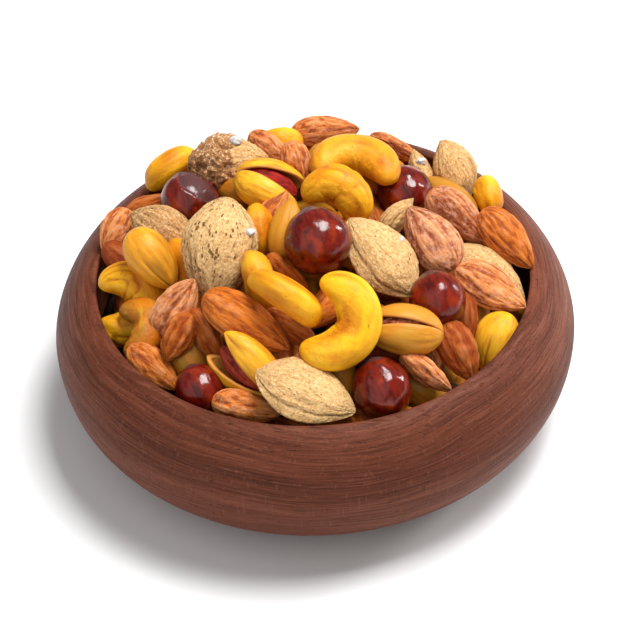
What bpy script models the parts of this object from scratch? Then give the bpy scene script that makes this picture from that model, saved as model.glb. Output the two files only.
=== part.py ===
"""A turned dark wooden bowl heaped with mixed nuts: cashews, pistachios, almonds and hazelnuts.

Lengths are in millimetres and become metres when a mesh is made. +Z is up, and the origin is the
middle of the bowl's flat foot. Each nut's place is given by where it shows in the photograph.
"""

import math
from collections import namedtuple

import bmesh
import bpy
import numpy as np
from mathutils import Matrix

MM = 0.001
NAME = "bowl_of_mixed_nuts"

# Bowl
BOWL_RADIUS = 75.0
BOWL_HEIGHT = 47.7
WIDEST_HEIGHT = 29.0
FOOT_RADIUS = 36.0
LIP_RADIUS = 62.4
MOUTH_RADIUS = 61.7
LIP_ROUNDING = 0.7
HOLLOW_RADIUS = 66.0
HOLLOW_HEIGHT = 30.5
FLOOR_THICKNESS = 8.0
SHOULDER_POWER = 1.65
BELLY_POWER = 2.2
HOLLOW_POWER = 3.0
BOWL_SEGMENTS = 48
BELLY_TOP_ANGLE = 15.0
HOLLOW_WALL_ANGLES = (25.0, 50.0, 90.0)

# The bed under the nuts, which rises into each of them
GAP = 0.35
BED_SEGMENTS = 36
BED_RINGS = 9
BED_EDGE_HEIGHT = 36.0
SEAT_REACH = 4.0
SEAT_SLOPE = 1.2
SEAT_RISE = 2.6

# The dome that the nuts' middles lie on
DOME_RISE = 19.0
DOME_FALL = 15.0
DOME_RADIUS = 52.0
DOME_LEAN = 0.1
NUT_REACH = 54.0
HOME_STEPS = 40
NUT_SIDES = (8, 7)
LOW_NUT_SIDES = (7, 5)
LOW_LIFT = -5.5

# How the nuts settle against each other and the bowl
SETTLE_STEPS = 220
PUSH_SHARE = 0.2
SIDEWAYS_SHARE = 0.35
RETURN_ALONG_SIGHT = 0.02
RETURN_ACROSS = 0.12
RIM_PUSH_SHARE = 0.5
LONGEST_STEP = 1.5
RIM_CLEARANCE = 1.0
TOUCH = 0.5
CASHEW_FEELERS = (-0.8, -0.4, 0.0, 0.4, 0.8)
SIDE_FEELERS = (0.3, 0.82)

# The photograph's viewpoint, which looks along +Y and down; its frame is 640 pixels square
VIEW_ELEVATION = math.radians(42.5)
VIEW_ROLL = math.radians(-2.3)
VIEW_DISTANCE = 700.0
VIEW_SHIFT = (-1.5, -0.1)
FOCAL_PIXELS = 2412.0
FRAME_MIDDLE = 320.0

# Kinds of nut, and how thick each is for its width
KERNEL = "almond_kernel"
ALMOND = "almond_in_shell"
CASHEW = "cashew"
PISTACHIO = "pistachio"
HAZELNUT = "hazelnut"
THICKNESS = {KERNEL: 0.62, ALMOND: 0.66, CASHEW: 0.9, PISTACHIO: 0.92, HAZELNUT: 1.0}
POINTEDNESS = {KERNEL: 0.28, ALMOND: 0.18, PISTACHIO: 0.14, HAZELNUT: 0.06}
END_FEELERS = {KERNEL: (0.6, 0.8), ALMOND: (0.6, 0.8), PISTACHIO: (0.42, 0.85)}
TAPER_FILL = 0.6
CASHEW_END = 0.85
CASHEW_TAPER = 0.06
CASHEW_FOLD = 0.1
KERNEL_IN_SHELL = 0.8

# Nuts for the bare places: kind, length, width and bend
FILLER_KINDS = ((KERNEL, 20.0, 11.0, 0.0), (CASHEW, 22.0, 10.0, 220.0), (PISTACHIO, 20.0, 12.0, 0.0))
FILLER_SEED = 7
FILLER_RINGS = (12.0, 24.0, 36.0, 45.0, 52.0)
FILLER_SPACING = 12.0
FILLER_CLEARANCE = 7.2
FILLER_DEPTH = 5.0
FILLER_ROLL = 30.0

COLOURS = {
    "bowl_wood": (0.120, 0.035, 0.020),
    "nut_bed": (0.045, 0.018, 0.010),
    KERNEL: (0.620, 0.170, 0.040),
    ALMOND: (0.760, 0.440, 0.170),
    CASHEW: (0.800, 0.390, 0.010),
    PISTACHIO: (0.740, 0.330, 0.020),
    HAZELNUT: (0.140, 0.008, 0.003),
}
ROUGHNESS = {"bowl_wood": 0.45, "nut_bed": 0.8, KERNEL: 0.6, ALMOND: 0.75, CASHEW: 0.4,
             PISTACHIO: 0.45, HAZELNUT: 0.2}

# Each nut that shows. u and v are its middle in the photograph, in pixels. Angles are in degrees:
# turn is where its pointed end lies, anticlockwise from the right; tip raises that end towards the
# viewer; roll turns it about its length; angle is a pistachio's gape or a cashew's bend. Length,
# width and lift towards the viewer are millimetres.
Nut = namedtuple("Nut", "kind u v turn tip roll length width lift angle", defaults=(0.0,))
SEEN = [
    Nut(ALMOND, 223, 249, -99, 0, 0, 29.8, 20.6, 2.6),
    Nut(ALMOND, 381, 256, 131, 0, 30, 27.8, 18.0, 1.0),
    Nut(ALMOND, 307, 393, -22, 0, -35, 29.0, 18.0, 1.0),
    Nut(ALMOND, 454, 170, 118, 20, 20, 20.0, 13.2, 1.0),
    Nut(ALMOND, 489, 272, -38, 0, -30, 26.0, 13.6, -5.0),
    Nut(ALMOND, 395, 219, 48, 0, 75, 16.0, 10.0, -3.0),
    Nut(ALMOND, 229, 163, 5, 0, 20, 24.5, 16.0, -1.0),
    Nut(ALMOND, 421, 171, 110, 0, 60, 14.0, 9.0, -4.0),
    Nut(ALMOND, 168, 233, -30, 0, 20, 24.0, 15.0, -7.0),
    Nut(KERNEL, 246, 324, -33, 0, 0, 27.8, 12.8, 3.0),
    Nut(KERNEL, 176, 307, 55, 20, 10, 20.0, 11.2, 2.0),
    Nut(KERNEL, 178, 338, -118, -10, 0, 15.5, 9.0, -2.0),
    Nut(KERNEL, 154, 368, -42, 0, 0, 18.5, 9.6, -1.0),
    Nut(KERNEL, 208, 340, -60, 0, 50, 20.0, 9.0, -4.0),
    Nut(KERNEL, 246, 408, -12, 0, 10, 19.0, 9.4, 0.0),
    Nut(KERNEL, 293, 330, -35, 0, 30, 18.0, 8.6, -3.0),
    Nut(KERNEL, 289, 276, -42, 0, 50, 17.0, 8.6, -5.0),
    Nut(KERNEL, 426, 373, -35, 0, 60, 17.0, 9.6, 0.0),
    Nut(KERNEL, 459, 352, -65, 0, 10, 18.0, 11.0, -1.0),
    Nut(KERNEL, 491, 289, -29, 0, -10, 22.5, 12.5, 2.0),
    Nut(KERNEL, 508, 241, -48, 0, 0, 22.0, 11.6, 4.6),
    Nut(KERNEL, 431, 238, 127, 0, 0, 22.0, 14.2, 2.0),
    Nut(KERNEL, 458, 217, -41, 0, 20, 22.0, 12.4, 1.0),
    Nut(KERNEL, 325, 132, 5, 0, 30, 21.0, 11.0, 1.0),
    Nut(KERNEL, 397, 149, -27, 0, 50, 18.0, 7.2, -2.0),
    Nut(KERNEL, 271, 150, -38, 0, 30, 16.0, 8.6, -2.0),
    Nut(KERNEL, 297, 164, -70, 0, 20, 14.0, 9.0, -1.0),
    Nut(KERNEL, 149, 209, 27, 0, 40, 17.0, 9.4, -1.0),
    Nut(KERNEL, 115, 233, -118, 0, 0, 15.0, 9.8, 3.0),
    Nut(KERNEL, 125, 262, -40, 0, 20, 16.0, 9.0, -7.0),
    Nut(KERNEL, 463, 322, -88, 0, 30, 18.0, 9.0, -6.0),
    Nut(KERNEL, 274, 211, 60, 0, 0, 14.0, 9.0, -6.0),
    Nut(KERNEL, 350, 380, -20, 0, 0, 18.0, 10.0, -7.0),
    Nut(KERNEL, 380, 353, -15, 0, 0, 20.0, 12.0, -7.0),
    Nut(CASHEW, 335, 323, -107, 0, 0, 28.5, 12.2, 4.0, 235),
    Nut(CASHEW, 356, 166, -6, 0, -52, 27.5, 11.8, 3.0, 225),
    Nut(CASHEW, 126, 304, -90, 0, 0, 24.5, 12.4, -4.0, 290),
    Nut(CASHEW, 285, 297, -33, 0, 80, 25.5, 9.8, 2.0, 190),
    Nut(CASHEW, 255, 281, -75, 0, 70, 19.0, 9.5, -3.0, 190),
    Nut(CASHEW, 336, 198, -28, 0, 20, 22.0, 11.6, -1.0, 230),
    Nut(CASHEW, 488, 198, -72, 40, 80, 15.0, 9.0, 0.0, 200),
    Nut(CASHEW, 258, 231, -85, 0, 90, 18.0, 9.8, -2.0, 190),
    Nut(CASHEW, 170, 169, 38, 0, 80, 19.6, 9.4, 0.0, 190),
    Nut(CASHEW, 278, 146, 10, 0, 60, 16.0, 8.6, -2.0, 200),
    Nut(CASHEW, 181, 268, -75, 0, 60, 19.0, 9.0, -5.0, 200),
    Nut(PISTACHIO, 270, 186, -18, 0, -35, 20.5, 12.6, 2.0, 24),
    Nut(PISTACHIO, 153, 259, -52, 0, 20, 20.0, 13.0, 2.0),
    Nut(PISTACHIO, 286, 233, 80, 0, 30, 19.0, 10.0, -1.0),
    Nut(PISTACHIO, 247, 366, 142, 0, -35, 22.0, 12.0, 1.0, 26),
    Nut(PISTACHIO, 404, 330, 172, 0, 25, 21.5, 13.0, 1.0, 9),
    Nut(PISTACHIO, 497, 340, -110, 0, 20, 18.0, 13.0, -5.0),
    Nut(PISTACHIO, 337, 374, -70, 0, 20, 18.0, 11.0, -6.0),
    Nut(PISTACHIO, 472, 316, -60, 0, 20, 18.0, 11.0, -7.0),
    Nut(PISTACHIO, 190, 361, -60, 0, 20, 18.0, 11.0, -7.0),
    Nut(PISTACHIO, 420, 389, -30, 0, 20, 18.0, 11.0, -8.0),
    Nut(HAZELNUT, 318, 240, 110, 0, 0, 19.2, 19.0, 2.0),
    Nut(HAZELNUT, 437, 299, 110, 0, 0, 16.6, 16.0, -1.0),
    Nut(HAZELNUT, 382, 388, 110, 0, 0, 17.6, 16.2, 0.0),
    Nut(HAZELNUT, 188, 201, 110, 0, 0, 17.2, 17.0, 1.0),
    Nut(HAZELNUT, 403, 191, 110, 0, 0, 16.6, 16.4, -4.0),
    Nut(HAZELNUT, 200, 389, 110, 0, 0, 14.8, 14.4, -2.0),
]


def clear_scene():
    for obj in list(bpy.data.objects):
        bpy.data.objects.remove(obj, do_unlink=True)


def make_material(name):
    material = bpy.data.materials.new(name)
    material.use_nodes = True
    shader = material.node_tree.nodes["Principled BSDF"]
    shader.inputs["Base Color"].default_value = (*COLOURS[name], 1.0)
    shader.inputs["Roughness"].default_value = ROUGHNESS[name]
    shader.inputs["Metallic"].default_value = 0.0
    return material


def quarter_arc(middle, sizes, power, angles):
    """Points (r, z) along a quarter of a superellipse, for angles in degrees."""
    turns = np.radians(angles)
    across = middle[0] + sizes[0] * np.cos(turns).clip(0.0) ** (2.0 / power)
    height = middle[1] + sizes[1] * np.sin(turns).clip(0.0) ** (2.0 / power)
    return np.column_stack([across, height])


def hollow_profile(gap):
    """The hollow's half section, from the middle of its floor up to the lip, drawn in by gap."""
    floor = quarter_arc(
        (0.0, HOLLOW_HEIGHT),
        (HOLLOW_RADIUS - gap, FLOOR_THICKNESS + gap - HOLLOW_HEIGHT),
        HOLLOW_POWER,
        np.linspace(90.0, 0.0, 8),
    )
    top = BOWL_HEIGHT - LIP_ROUNDING - HOLLOW_HEIGHT
    wall = quarter_arc(
        (MOUTH_RADIUS - gap, HOLLOW_HEIGHT),
        (HOLLOW_RADIUS - MOUTH_RADIUS, top),
        2.0,
        HOLLOW_WALL_ANGLES,
    )
    return np.vstack([floor, wall])


def bowl_profile():
    """The bowl's half section, from the middle of its hollow over the lip to its foot's middle."""
    shoulder = quarter_arc(
        (LIP_RADIUS, WIDEST_HEIGHT),
        (BOWL_RADIUS - LIP_RADIUS, BOWL_HEIGHT - WIDEST_HEIGHT),
        SHOULDER_POWER,
        np.linspace(90.0, 0.0, 8),
    )
    belly = quarter_arc(
        (FOOT_RADIUS, WIDEST_HEIGHT),
        (BOWL_RADIUS - FOOT_RADIUS, -WIDEST_HEIGHT),
        BELLY_POWER,
        np.linspace(BELLY_TOP_ANGLE, 90.0, 6),
    )
    return np.vstack([hollow_profile(0.0), shoulder, belly, [(0.0, 0.0)]])


def turned_mesh(name, profile, segments):
    """The mesh that a profile of (r, z) points sweeps out about Z."""
    mesh = bpy.data.meshes.new(name)
    points = [(r * MM, 0.0, z * MM) for r, z in profile]
    edges = [(i, i + 1) for i in range(len(points) - 1)]
    mesh.from_pydata(points, edges, [])
    obj = bpy.data.objects.new(name, mesh)
    bpy.context.scene.collection.objects.link(obj)
    screw = obj.modifiers.new("turn", "SCREW")
    screw.steps = segments
    screw.render_steps = segments
    screw.use_merge_vertices = True
    screw.merge_threshold = 0.05 * MM
    turned = applied_mesh(obj)
    bpy.data.objects.remove(obj)
    return turned


def applied_mesh(obj):
    """A copy of the object's mesh with its modifiers applied."""
    graph = bpy.context.evaluated_depsgraph_get()
    return bpy.data.meshes.new_from_object(obj.evaluated_get(graph))


def smooth(mesh, angle):
    mesh.shade_smooth()
    mesh.set_sharp_from_angle(angle=math.radians(angle))


def make_bowl(collection):
    mesh = turned_mesh("bowl", bowl_profile(), BOWL_SEGMENTS)
    smooth(mesh, 40.0)
    mesh.materials.clear()
    mesh.materials.append(make_material("bowl_wood"))
    collection.objects.link(bpy.data.objects.new("bowl", mesh))


def view_axes():
    """The photograph's right, up and backward directions, as rows."""
    c, s = math.cos(VIEW_ROLL), math.sin(VIEW_ROLL)
    right = np.array([1.0, 0.0, 0.0])
    up = np.array([0.0, math.sin(VIEW_ELEVATION), math.cos(VIEW_ELEVATION)])
    return np.array([c * right + s * up, c * up - s * right, np.cross(right, up)])


def eye_point():
    """Where the photograph was taken from."""
    up = np.array([0.0, math.sin(VIEW_ELEVATION), math.cos(VIEW_ELEVATION)])
    back = view_axes()[2]
    middle = np.array([-VIEW_SHIFT[0], 0.0, WIDEST_HEIGHT])
    return middle + VIEW_SHIFT[1] * up + VIEW_DISTANCE * back


def dome_height(x, y):
    """Height of the heap's middle surface, which the nuts' centres lie on."""
    fall = DOME_FALL * (x * x + y * y) / DOME_RADIUS**2
    return BOWL_HEIGHT + DOME_RISE - fall + DOME_LEAN * y


def sight_line(u, v):
    """Direction from the eye through a pixel of the photograph."""
    right, up, back = view_axes()
    line = right * (u - FRAME_MIDDLE) - up * (v - FRAME_MIDDLE) - back * FOCAL_PIXELS
    return line / np.linalg.norm(line)


def home_of(nut):
    """Where a nut's middle lies: its sight line meets the dome, within reach of the middle."""
    eye = eye_point()
    line = sight_line(nut.u, nut.v)
    height = BOWL_HEIGHT + DOME_RISE
    for _ in range(HOME_STEPS):
        point = eye + line * (height - eye[2]) / line[2]
        height = dome_height(point[0], point[1])
    reach = math.hypot(point[0], point[1])
    if reach > NUT_REACH:
        inward = point[:2] * NUT_REACH / reach
        along = np.dot(inward - eye[:2], line[:2]) / np.dot(line[:2], line[:2])
        point = eye + line * along
    return point - line * nut.lift


def rotation(x_axis, y_axis, z_axis, nut):
    """Turns a nut's own axes into the given ones, then by its turn, tip and roll."""
    frame = np.column_stack([x_axis, y_axis, z_axis])
    turn = Matrix.Rotation(math.radians(nut.turn), 3, "Z")
    tip = Matrix.Rotation(math.radians(-nut.tip), 3, "Y")
    roll = Matrix.Rotation(math.radians(nut.roll), 3, "X")
    return frame @ np.array(turn @ tip @ roll)


def cashew_section(where):
    """Share of a cashew's greatest radius at a place along it, from -1 to 1."""
    return np.sqrt((1.0 - np.abs(where) ** 3).clip(0.0)) * (1.0 + CASHEW_TAPER * where)


def cashew_arc(nut):
    """The radius that a cashew is bent to."""
    return (nut.length - nut.width * CASHEW_END) / 2


def cashew_shift(nut):
    """How far a cashew's middle lies from the middle of its bend."""
    arc = cashew_arc(nut)
    middle = arc * (1.0 + math.cos(math.radians(nut.angle) / 2))
    return (middle + nut.width / 2 * (1.0 - CASHEW_END)) / 2


def shape_points(nut, ball):
    """Moves points of a unit sphere with poles on X onto the nut's own form."""
    half_length, half_width = nut.length / 2, nut.width / 2
    half_thickness = half_width * THICKNESS[nut.kind]
    x, y, z = ball.T
    if nut.kind == CASHEW:
        around = np.arctan2(z, y)
        bend = x * math.radians(nut.angle) / 2
        section = half_width * cashew_section(x)
        out = (cashew_arc(nut) + section * np.cos(around)).clip(half_width * CASHEW_FOLD)
        thick = section * np.sin(around) * THICKNESS[CASHEW]
        return np.column_stack([out * np.sin(bend), out * np.cos(bend) - cashew_shift(nut), thick])
    taper = ((1.0 - x).clip(0.0) / 2) ** POINTEDNESS[nut.kind]
    taper = taper * (1.0 + TAPER_FILL * POINTEDNESS[nut.kind])
    return np.column_stack([x * half_length, y * half_width * taper, z * half_thickness * taper])


def feelers(nut):
    """Balls that stand for a nut while the heap settles, each as (x, y, radius)."""
    half_length, half_width = nut.length / 2, nut.width / 2
    half_thickness = half_width * THICKNESS[nut.kind]
    if nut.kind == HAZELNUT:
        return [(0.0, 0.0, half_width)]
    if nut.kind == CASHEW:
        balls = []
        for where in CASHEW_FEELERS:
            bend = where * math.radians(nut.angle) / 2
            across = cashew_arc(nut) * math.cos(bend) - cashew_shift(nut)
            radius = half_width * float(cashew_section(where))
            balls.append((cashew_arc(nut) * math.sin(bend), across, radius))
        return balls
    along, size = END_FEELERS[nut.kind]
    balls = [(0.0, 0.0, half_thickness)]
    balls += [(end * half_length * along, 0.0, half_thickness * size) for end in (-1, 1)]
    if nut.kind != PISTACHIO:
        along, size = SIDE_FEELERS
        radius = half_thickness * size
        for end, side in ((-1, -1), (-1, 1), (1, -1), (1, 1)):
            balls.append((end * half_length * along, side * (half_width - radius), radius))
    return balls


def nearest_on_profile(profile, points):
    """For points (r, z), the nearest points of the profile's line."""
    start, end = profile[:-1], profile[1:]
    run = end - start
    share = ((points[:, None] - start) * run).sum(axis=2) / (run * run).sum(axis=1)
    near = start + share.clip(0.0, 1.0)[..., None] * run
    best = ((points[:, None] - near) ** 2).sum(axis=2).argmin(axis=1)
    return near[np.arange(len(points)), best]


def clear_of_bowl(profile, middles, radii):
    """How far each ball has to move to stay clear of the wood."""
    reach = np.hypot(middles[:, 0], middles[:, 1]).clip(1e-6)
    flat = np.column_stack([reach, middles[:, 2]])
    away = flat - nearest_on_profile(profile, flat)
    distance = np.linalg.norm(away, axis=1).clip(1e-6)
    need = (radii + RIM_CLEARANCE - distance).clip(0.0)
    step = away / distance[:, None] * need[:, None]
    outward = middles[:, :2] / reach[:, None]
    return np.column_stack([outward * step[:, :1], step[:, 1]])


def settle(homes, turns, nuts, settled):
    """Pushes overlapping nuts apart, mostly along the line of sight, and clear of the bowl.

    The first nuts, as many as settled says, already lie in their places.
    """
    balls = [np.array(feelers(nut)) for nut in nuts]
    owner = np.repeat(np.arange(len(nuts)), [len(group) for group in balls])
    offsets = np.vstack([group[:, :2] @ turn[:, :2].T for group, turn in zip(balls, turns)])
    radii = np.concatenate([group[:, 2] for group in balls])
    sight = homes - eye_point()
    sight = sight / np.linalg.norm(sight, axis=1)[:, None]
    other = owner[:, None] != owner
    reach = (radii[:, None] + radii - TOUCH) * other
    profile = bowl_profile()
    places = homes.copy()
    for _ in range(SETTLE_STEPS):
        middles = places[owner] + offsets
        apart = middles[:, None] - middles
        distance = np.sqrt((apart**2).sum(axis=2)) + 1e-6
        push = (apart * ((reach - distance).clip(0.0) / distance)[..., None]).sum(axis=1)
        move = np.zeros_like(places)
        np.add.at(move, owner, PUSH_SHARE * push)
        depth = (move * sight).sum(axis=1)[:, None] * sight
        move = depth + SIDEWAYS_SHARE * (move - depth)
        back = homes - places
        back_depth = (back * sight).sum(axis=1)[:, None] * sight
        move += RETURN_ALONG_SIGHT * back_depth + RETURN_ACROSS * (back - back_depth)
        np.add.at(move, owner, RIM_PUSH_SHARE * clear_of_bowl(profile, middles, radii))
        places[settled:] += move[settled:].clip(-LONGEST_STEP, LONGEST_STEP)
    return places


def dome_axes(x, y):
    """Directions along and square to the dome at a place."""
    step = 0.1
    along_x = np.array([step, 0.0, dome_height(x + step, y) - dome_height(x, y)])
    along_y = np.array([0.0, step, dome_height(x, y + step) - dome_height(x, y)])
    upward = np.cross(along_x, along_y)
    upward = upward / np.linalg.norm(upward)
    along_x = along_x / np.linalg.norm(along_x)
    return along_x, np.cross(upward, along_x), upward


def filler_nuts(places):
    """Nuts a little lower down for the bare places of the dome, each with its place and turn."""
    draw = np.random.default_rng(FILLER_SEED)
    found = []
    taken = [place[:2] for place in places]
    for ring in FILLER_RINGS:
        count = round(2.0 * math.pi * ring / FILLER_SPACING)
        for number in range(count):
            bearing = 2.0 * math.pi * (number + draw.uniform(-0.2, 0.2)) / count
            x, y = ring * math.cos(bearing), ring * math.sin(bearing)
            kind, length, width, angle = FILLER_KINDS[draw.integers(len(FILLER_KINDS))]
            turn, roll = draw.uniform(-180.0, 180.0), draw.uniform(-FILLER_ROLL, FILLER_ROLL)
            size = draw.uniform(0.92, 1.06)
            if min(math.hypot(spot[0] - x, spot[1] - y) for spot in taken) < FILLER_CLEARANCE:
                continue
            taken.append((x, y))
            nut = Nut(kind, 0.0, 0.0, turn, 0.0, roll, length * size, width * size, LOW_LIFT, angle)
            place = np.array([x, y, dome_height(x, y) - FILLER_DEPTH])
            found.append((nut, place, rotation(*dome_axes(x, y), nut)))
    return found


def placed_nuts():
    """Every nut of the heap with its settled place and its rotation."""
    homes = np.array([home_of(nut) for nut in SEEN])
    turns = [rotation(*view_axes(), nut) for nut in SEEN]
    seen_places = settle(homes, turns, SEEN, 0)
    fillers = filler_nuts(seen_places)
    nuts = SEEN + [filler[0] for filler in fillers]
    homes = np.vstack([seen_places] + [filler[1] for filler in fillers])
    turns += [filler[2] for filler in fillers]
    places = settle(homes, turns, nuts, len(SEEN))
    return list(zip(nuts, np.round(places, 2), turns))


def ball_mesh(name, sides, keep_side=0):
    """A unit sphere with its poles on X; keep_side 1 or -1 keeps the half on that side of Y."""
    form = bmesh.new()
    bmesh.ops.create_uvsphere(form, u_segments=sides[0], v_segments=sides[1], radius=1.0)
    bmesh.ops.rotate(form, verts=form.verts, matrix=Matrix.Rotation(math.pi / 2, 3, "Y"))
    if keep_side:
        everything = form.verts[:] + form.edges[:] + form.faces[:]
        cut = bmesh.ops.bisect_plane(
            form,
            geom=everything,
            dist=1e-5,
            plane_co=(0.0, 0.0, 0.0),
            plane_no=(0.0, -keep_side, 0.0),
            clear_outer=True,
        )
        rim = [edge for edge in cut["geom_cut"] if isinstance(edge, bmesh.types.BMEdge)]
        bmesh.ops.edgeloop_fill(form, edges=rim)
        bmesh.ops.recalc_face_normals(form, faces=form.faces)
    bmesh.ops.triangulate(form, faces=form.faces)
    mesh = bpy.data.meshes.new(name)
    form.to_mesh(mesh)
    form.free()
    return mesh


def mesh_points(mesh):
    points = np.empty(len(mesh.vertices) * 3, np.float32)
    mesh.vertices.foreach_get("co", points)
    return points.reshape(-1, 3).astype(float)


def set_points(mesh, points):
    mesh.vertices.foreach_set("co", (points * MM).astype(np.float32).ravel())
    mesh.update()


def nut_meshes(nut, name):
    """A nut's closed pieces in its own axes, in millimetres: one, or a kernel and two shells."""
    sides = LOW_NUT_SIDES if nut.lift <= LOW_LIFT else NUT_SIDES
    mesh = ball_mesh(name, sides)
    points = shape_points(nut, mesh_points(mesh))
    if nut.kind != PISTACHIO or nut.angle == 0.0:
        return [(mesh, points, nut.kind)]
    pieces = [(mesh, points * KERNEL_IN_SHELL, KERNEL)]
    hinge = np.array([-nut.length / 2, 0.0, 0.0])
    for side in (1, -1):
        mesh = ball_mesh(name, sides, side)
        swing = np.array(Matrix.Rotation(side * math.radians(nut.angle) / 2, 3, "Z"))
        points = (shape_points(nut, mesh_points(mesh)) - hinge) @ swing.T + hinge
        pieces.append((mesh, points, PISTACHIO))
    return pieces


def add_nuts(nuts, collection, materials):
    for number, (nut, place, turn) in enumerate(nuts):
        for mesh, points, kind in nut_meshes(nut, f"nut_{number}"):
            set_points(mesh, points @ turn.T + place)
            mesh.materials.append(materials[kind])
            collection.objects.link(bpy.data.objects.new(mesh.name, mesh))


def nut_seat(nut, place, turn):
    """The point a little way up inside a nut from its lowest point, where the bed has to reach."""
    points = np.vstack([points for _, points, _ in nut_meshes(nut, "seat")]) @ turn.T + place
    seat = points[points[:, 2].argmin()]
    return np.array([(seat[0] + place[0]) / 2, (seat[1] + place[1]) / 2, seat[2] + SEAT_RISE])


def bed_mesh(seats):
    """The core that fills the bowl under the nuts; its top rises into each of them."""
    hollow = hollow_profile(GAP)
    wall = hollow[hollow[:, 1] < BED_EDGE_HEIGHT - 1.0][::-1]
    edge = np.interp(BED_EDGE_HEIGHT, hollow[:, 1], hollow[:, 0])
    rings = np.linspace(0.0, edge, BED_RINGS + 1)
    top = np.column_stack([rings, np.full_like(rings, BED_EDGE_HEIGHT)])
    mesh = turned_mesh("nut_heap", np.vstack([top, wall]), BED_SEGMENTS)
    points = mesh_points(mesh) / MM
    reach = np.hypot(points[:, 0], points[:, 1])
    for index in np.flatnonzero((points[:, 2] > BED_EDGE_HEIGHT - 0.01) & (reach < edge - 1.0)):
        away = np.hypot(*(seats[:, :2] - points[index, :2]).T)
        rise = seats[:, 2] - SEAT_SLOPE * (away - SEAT_REACH).clip(0.0)
        points[index, 2] = max(rise.max(), BED_EDGE_HEIGHT)
    set_points(mesh, points)
    return mesh


def keep_main_body(mesh):
    """Drops loose scraps and fills sealed hollows, so that only the largest closed surface stays."""
    form = bmesh.new()
    form.from_mesh(mesh)
    bmesh.ops.remove_doubles(form, verts=form.verts, dist=1e-6)
    straight = [vert for vert in form.verts if len(vert.link_edges) == 2]
    bmesh.ops.dissolve_verts(form, verts=straight)
    bmesh.ops.triangulate(form, faces=form.faces)
    left = set(form.faces)
    shells = []
    while left:
        shell = {left.pop()}
        edge_of_shell = set(shell)
        while edge_of_shell:
            near = {face for side in edge_of_shell for edge in side.edges for face in edge.link_faces}
            edge_of_shell = near - shell
            shell |= near
        left -= shell
        shells.append(shell)
    shells.sort(key=len)
    scraps = [face for shell in shells[:-1] for face in shell]
    bmesh.ops.delete(form, geom=scraps, context="FACES")
    form.to_mesh(mesh)
    form.free()


def make_heap(collection):
    nuts = placed_nuts()
    materials = {kind: make_material(kind) for kind in THICKNESS}
    joined = bpy.data.collections.new("nuts_to_join")
    bpy.context.scene.collection.children.link(joined)
    add_nuts(nuts, joined, materials)
    mesh = bed_mesh(np.array([nut_seat(*placed) for placed in nuts]))
    mesh.materials.clear()
    mesh.materials.append(make_material("nut_bed"))
    heap = bpy.data.objects.new("nut_heap", mesh)
    collection.objects.link(heap)
    union = heap.modifiers.new("join", "BOOLEAN")
    union.operation = "UNION"
    union.operand_type = "COLLECTION"
    union.collection = joined
    union.material_mode = "TRANSFER"
    heap.data = applied_mesh(heap)
    heap.modifiers.clear()
    for obj in list(joined.objects):
        bpy.data.objects.remove(obj)
    bpy.data.collections.remove(joined)
    keep_main_body(heap.data)
    smooth(heap.data, 50.0)


def main():
    clear_scene()
    collection = bpy.data.collections.new(NAME)
    bpy.context.scene.collection.children.link(collection)
    make_bowl(collection)
    make_heap(collection)


main()
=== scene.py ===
"""A turned dark wooden bowl heaped with mixed nuts: cashews, pistachios, almonds and hazelnuts.

Lengths are in millimetres and become metres when a mesh is made. +Z is up, and the origin is the
middle of the bowl's flat foot. Each nut's place is given by where it shows in the photograph.
"""

import itertools
import math
from collections import namedtuple

import bpy
import numpy as np
from mathutils import Matrix, Vector
from mathutils.bvhtree import BVHTree


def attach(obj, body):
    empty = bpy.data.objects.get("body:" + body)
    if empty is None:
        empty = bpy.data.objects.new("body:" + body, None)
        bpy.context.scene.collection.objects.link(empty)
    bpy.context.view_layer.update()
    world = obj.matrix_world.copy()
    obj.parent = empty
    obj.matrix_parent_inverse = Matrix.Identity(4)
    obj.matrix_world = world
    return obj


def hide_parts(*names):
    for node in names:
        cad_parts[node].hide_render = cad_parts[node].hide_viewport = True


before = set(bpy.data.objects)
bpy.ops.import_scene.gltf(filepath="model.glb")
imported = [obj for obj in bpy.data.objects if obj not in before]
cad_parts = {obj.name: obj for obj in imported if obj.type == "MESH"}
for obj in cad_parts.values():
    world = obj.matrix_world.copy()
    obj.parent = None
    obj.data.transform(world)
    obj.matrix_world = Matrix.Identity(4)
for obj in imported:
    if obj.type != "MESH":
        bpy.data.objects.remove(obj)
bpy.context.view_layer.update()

MM = 0.001

# Bowl
BOWL_RADIUS = 75.0
BOWL_HEIGHT = 47.7
WIDEST_HEIGHT = 29.0
FOOT_RADIUS = 36.0
LIP_RADIUS = 62.4
MOUTH_RADIUS = 61.7
LIP_ROUNDING = 0.7
HOLLOW_RADIUS = 66.0
HOLLOW_HEIGHT = 30.5
FLOOR_THICKNESS = 8.0
SHOULDER_POWER = 1.65
BELLY_POWER = 2.2
HOLLOW_POWER = 3.0
ROUND_POWER = 2.0
BOWL_SEGMENTS = 256
SHARP_ANGLE = math.radians(50.0)

# The dome that the nuts' middles lie on
DOME_RISE = 19.0
DOME_FALL = 15.0
DOME_RADIUS = 52.0
DOME_LEAN = 0.1
NUT_REACH = 54.0
HOME_STEPS = 40

# How the nuts settle against each other and the bowl
SETTLE_STEPS = 220
DEEP_SETTLE_STEPS = 50
PUSH_SHARE = 0.2
SIDEWAYS_SHARE = 0.35
RETURN_ALONG_SIGHT = 0.02
RETURN_ACROSS = 0.12
RIM_PUSH_SHARE = 0.5
LONGEST_STEP = 1.5
RIM_CLEARANCE = 1.0
TOUCH = 0.5
CASHEW_FEELERS = (-0.8, -0.4, 0.0, 0.4, 0.8)
SIDE_FEELERS = (0.3, 0.82)

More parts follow.
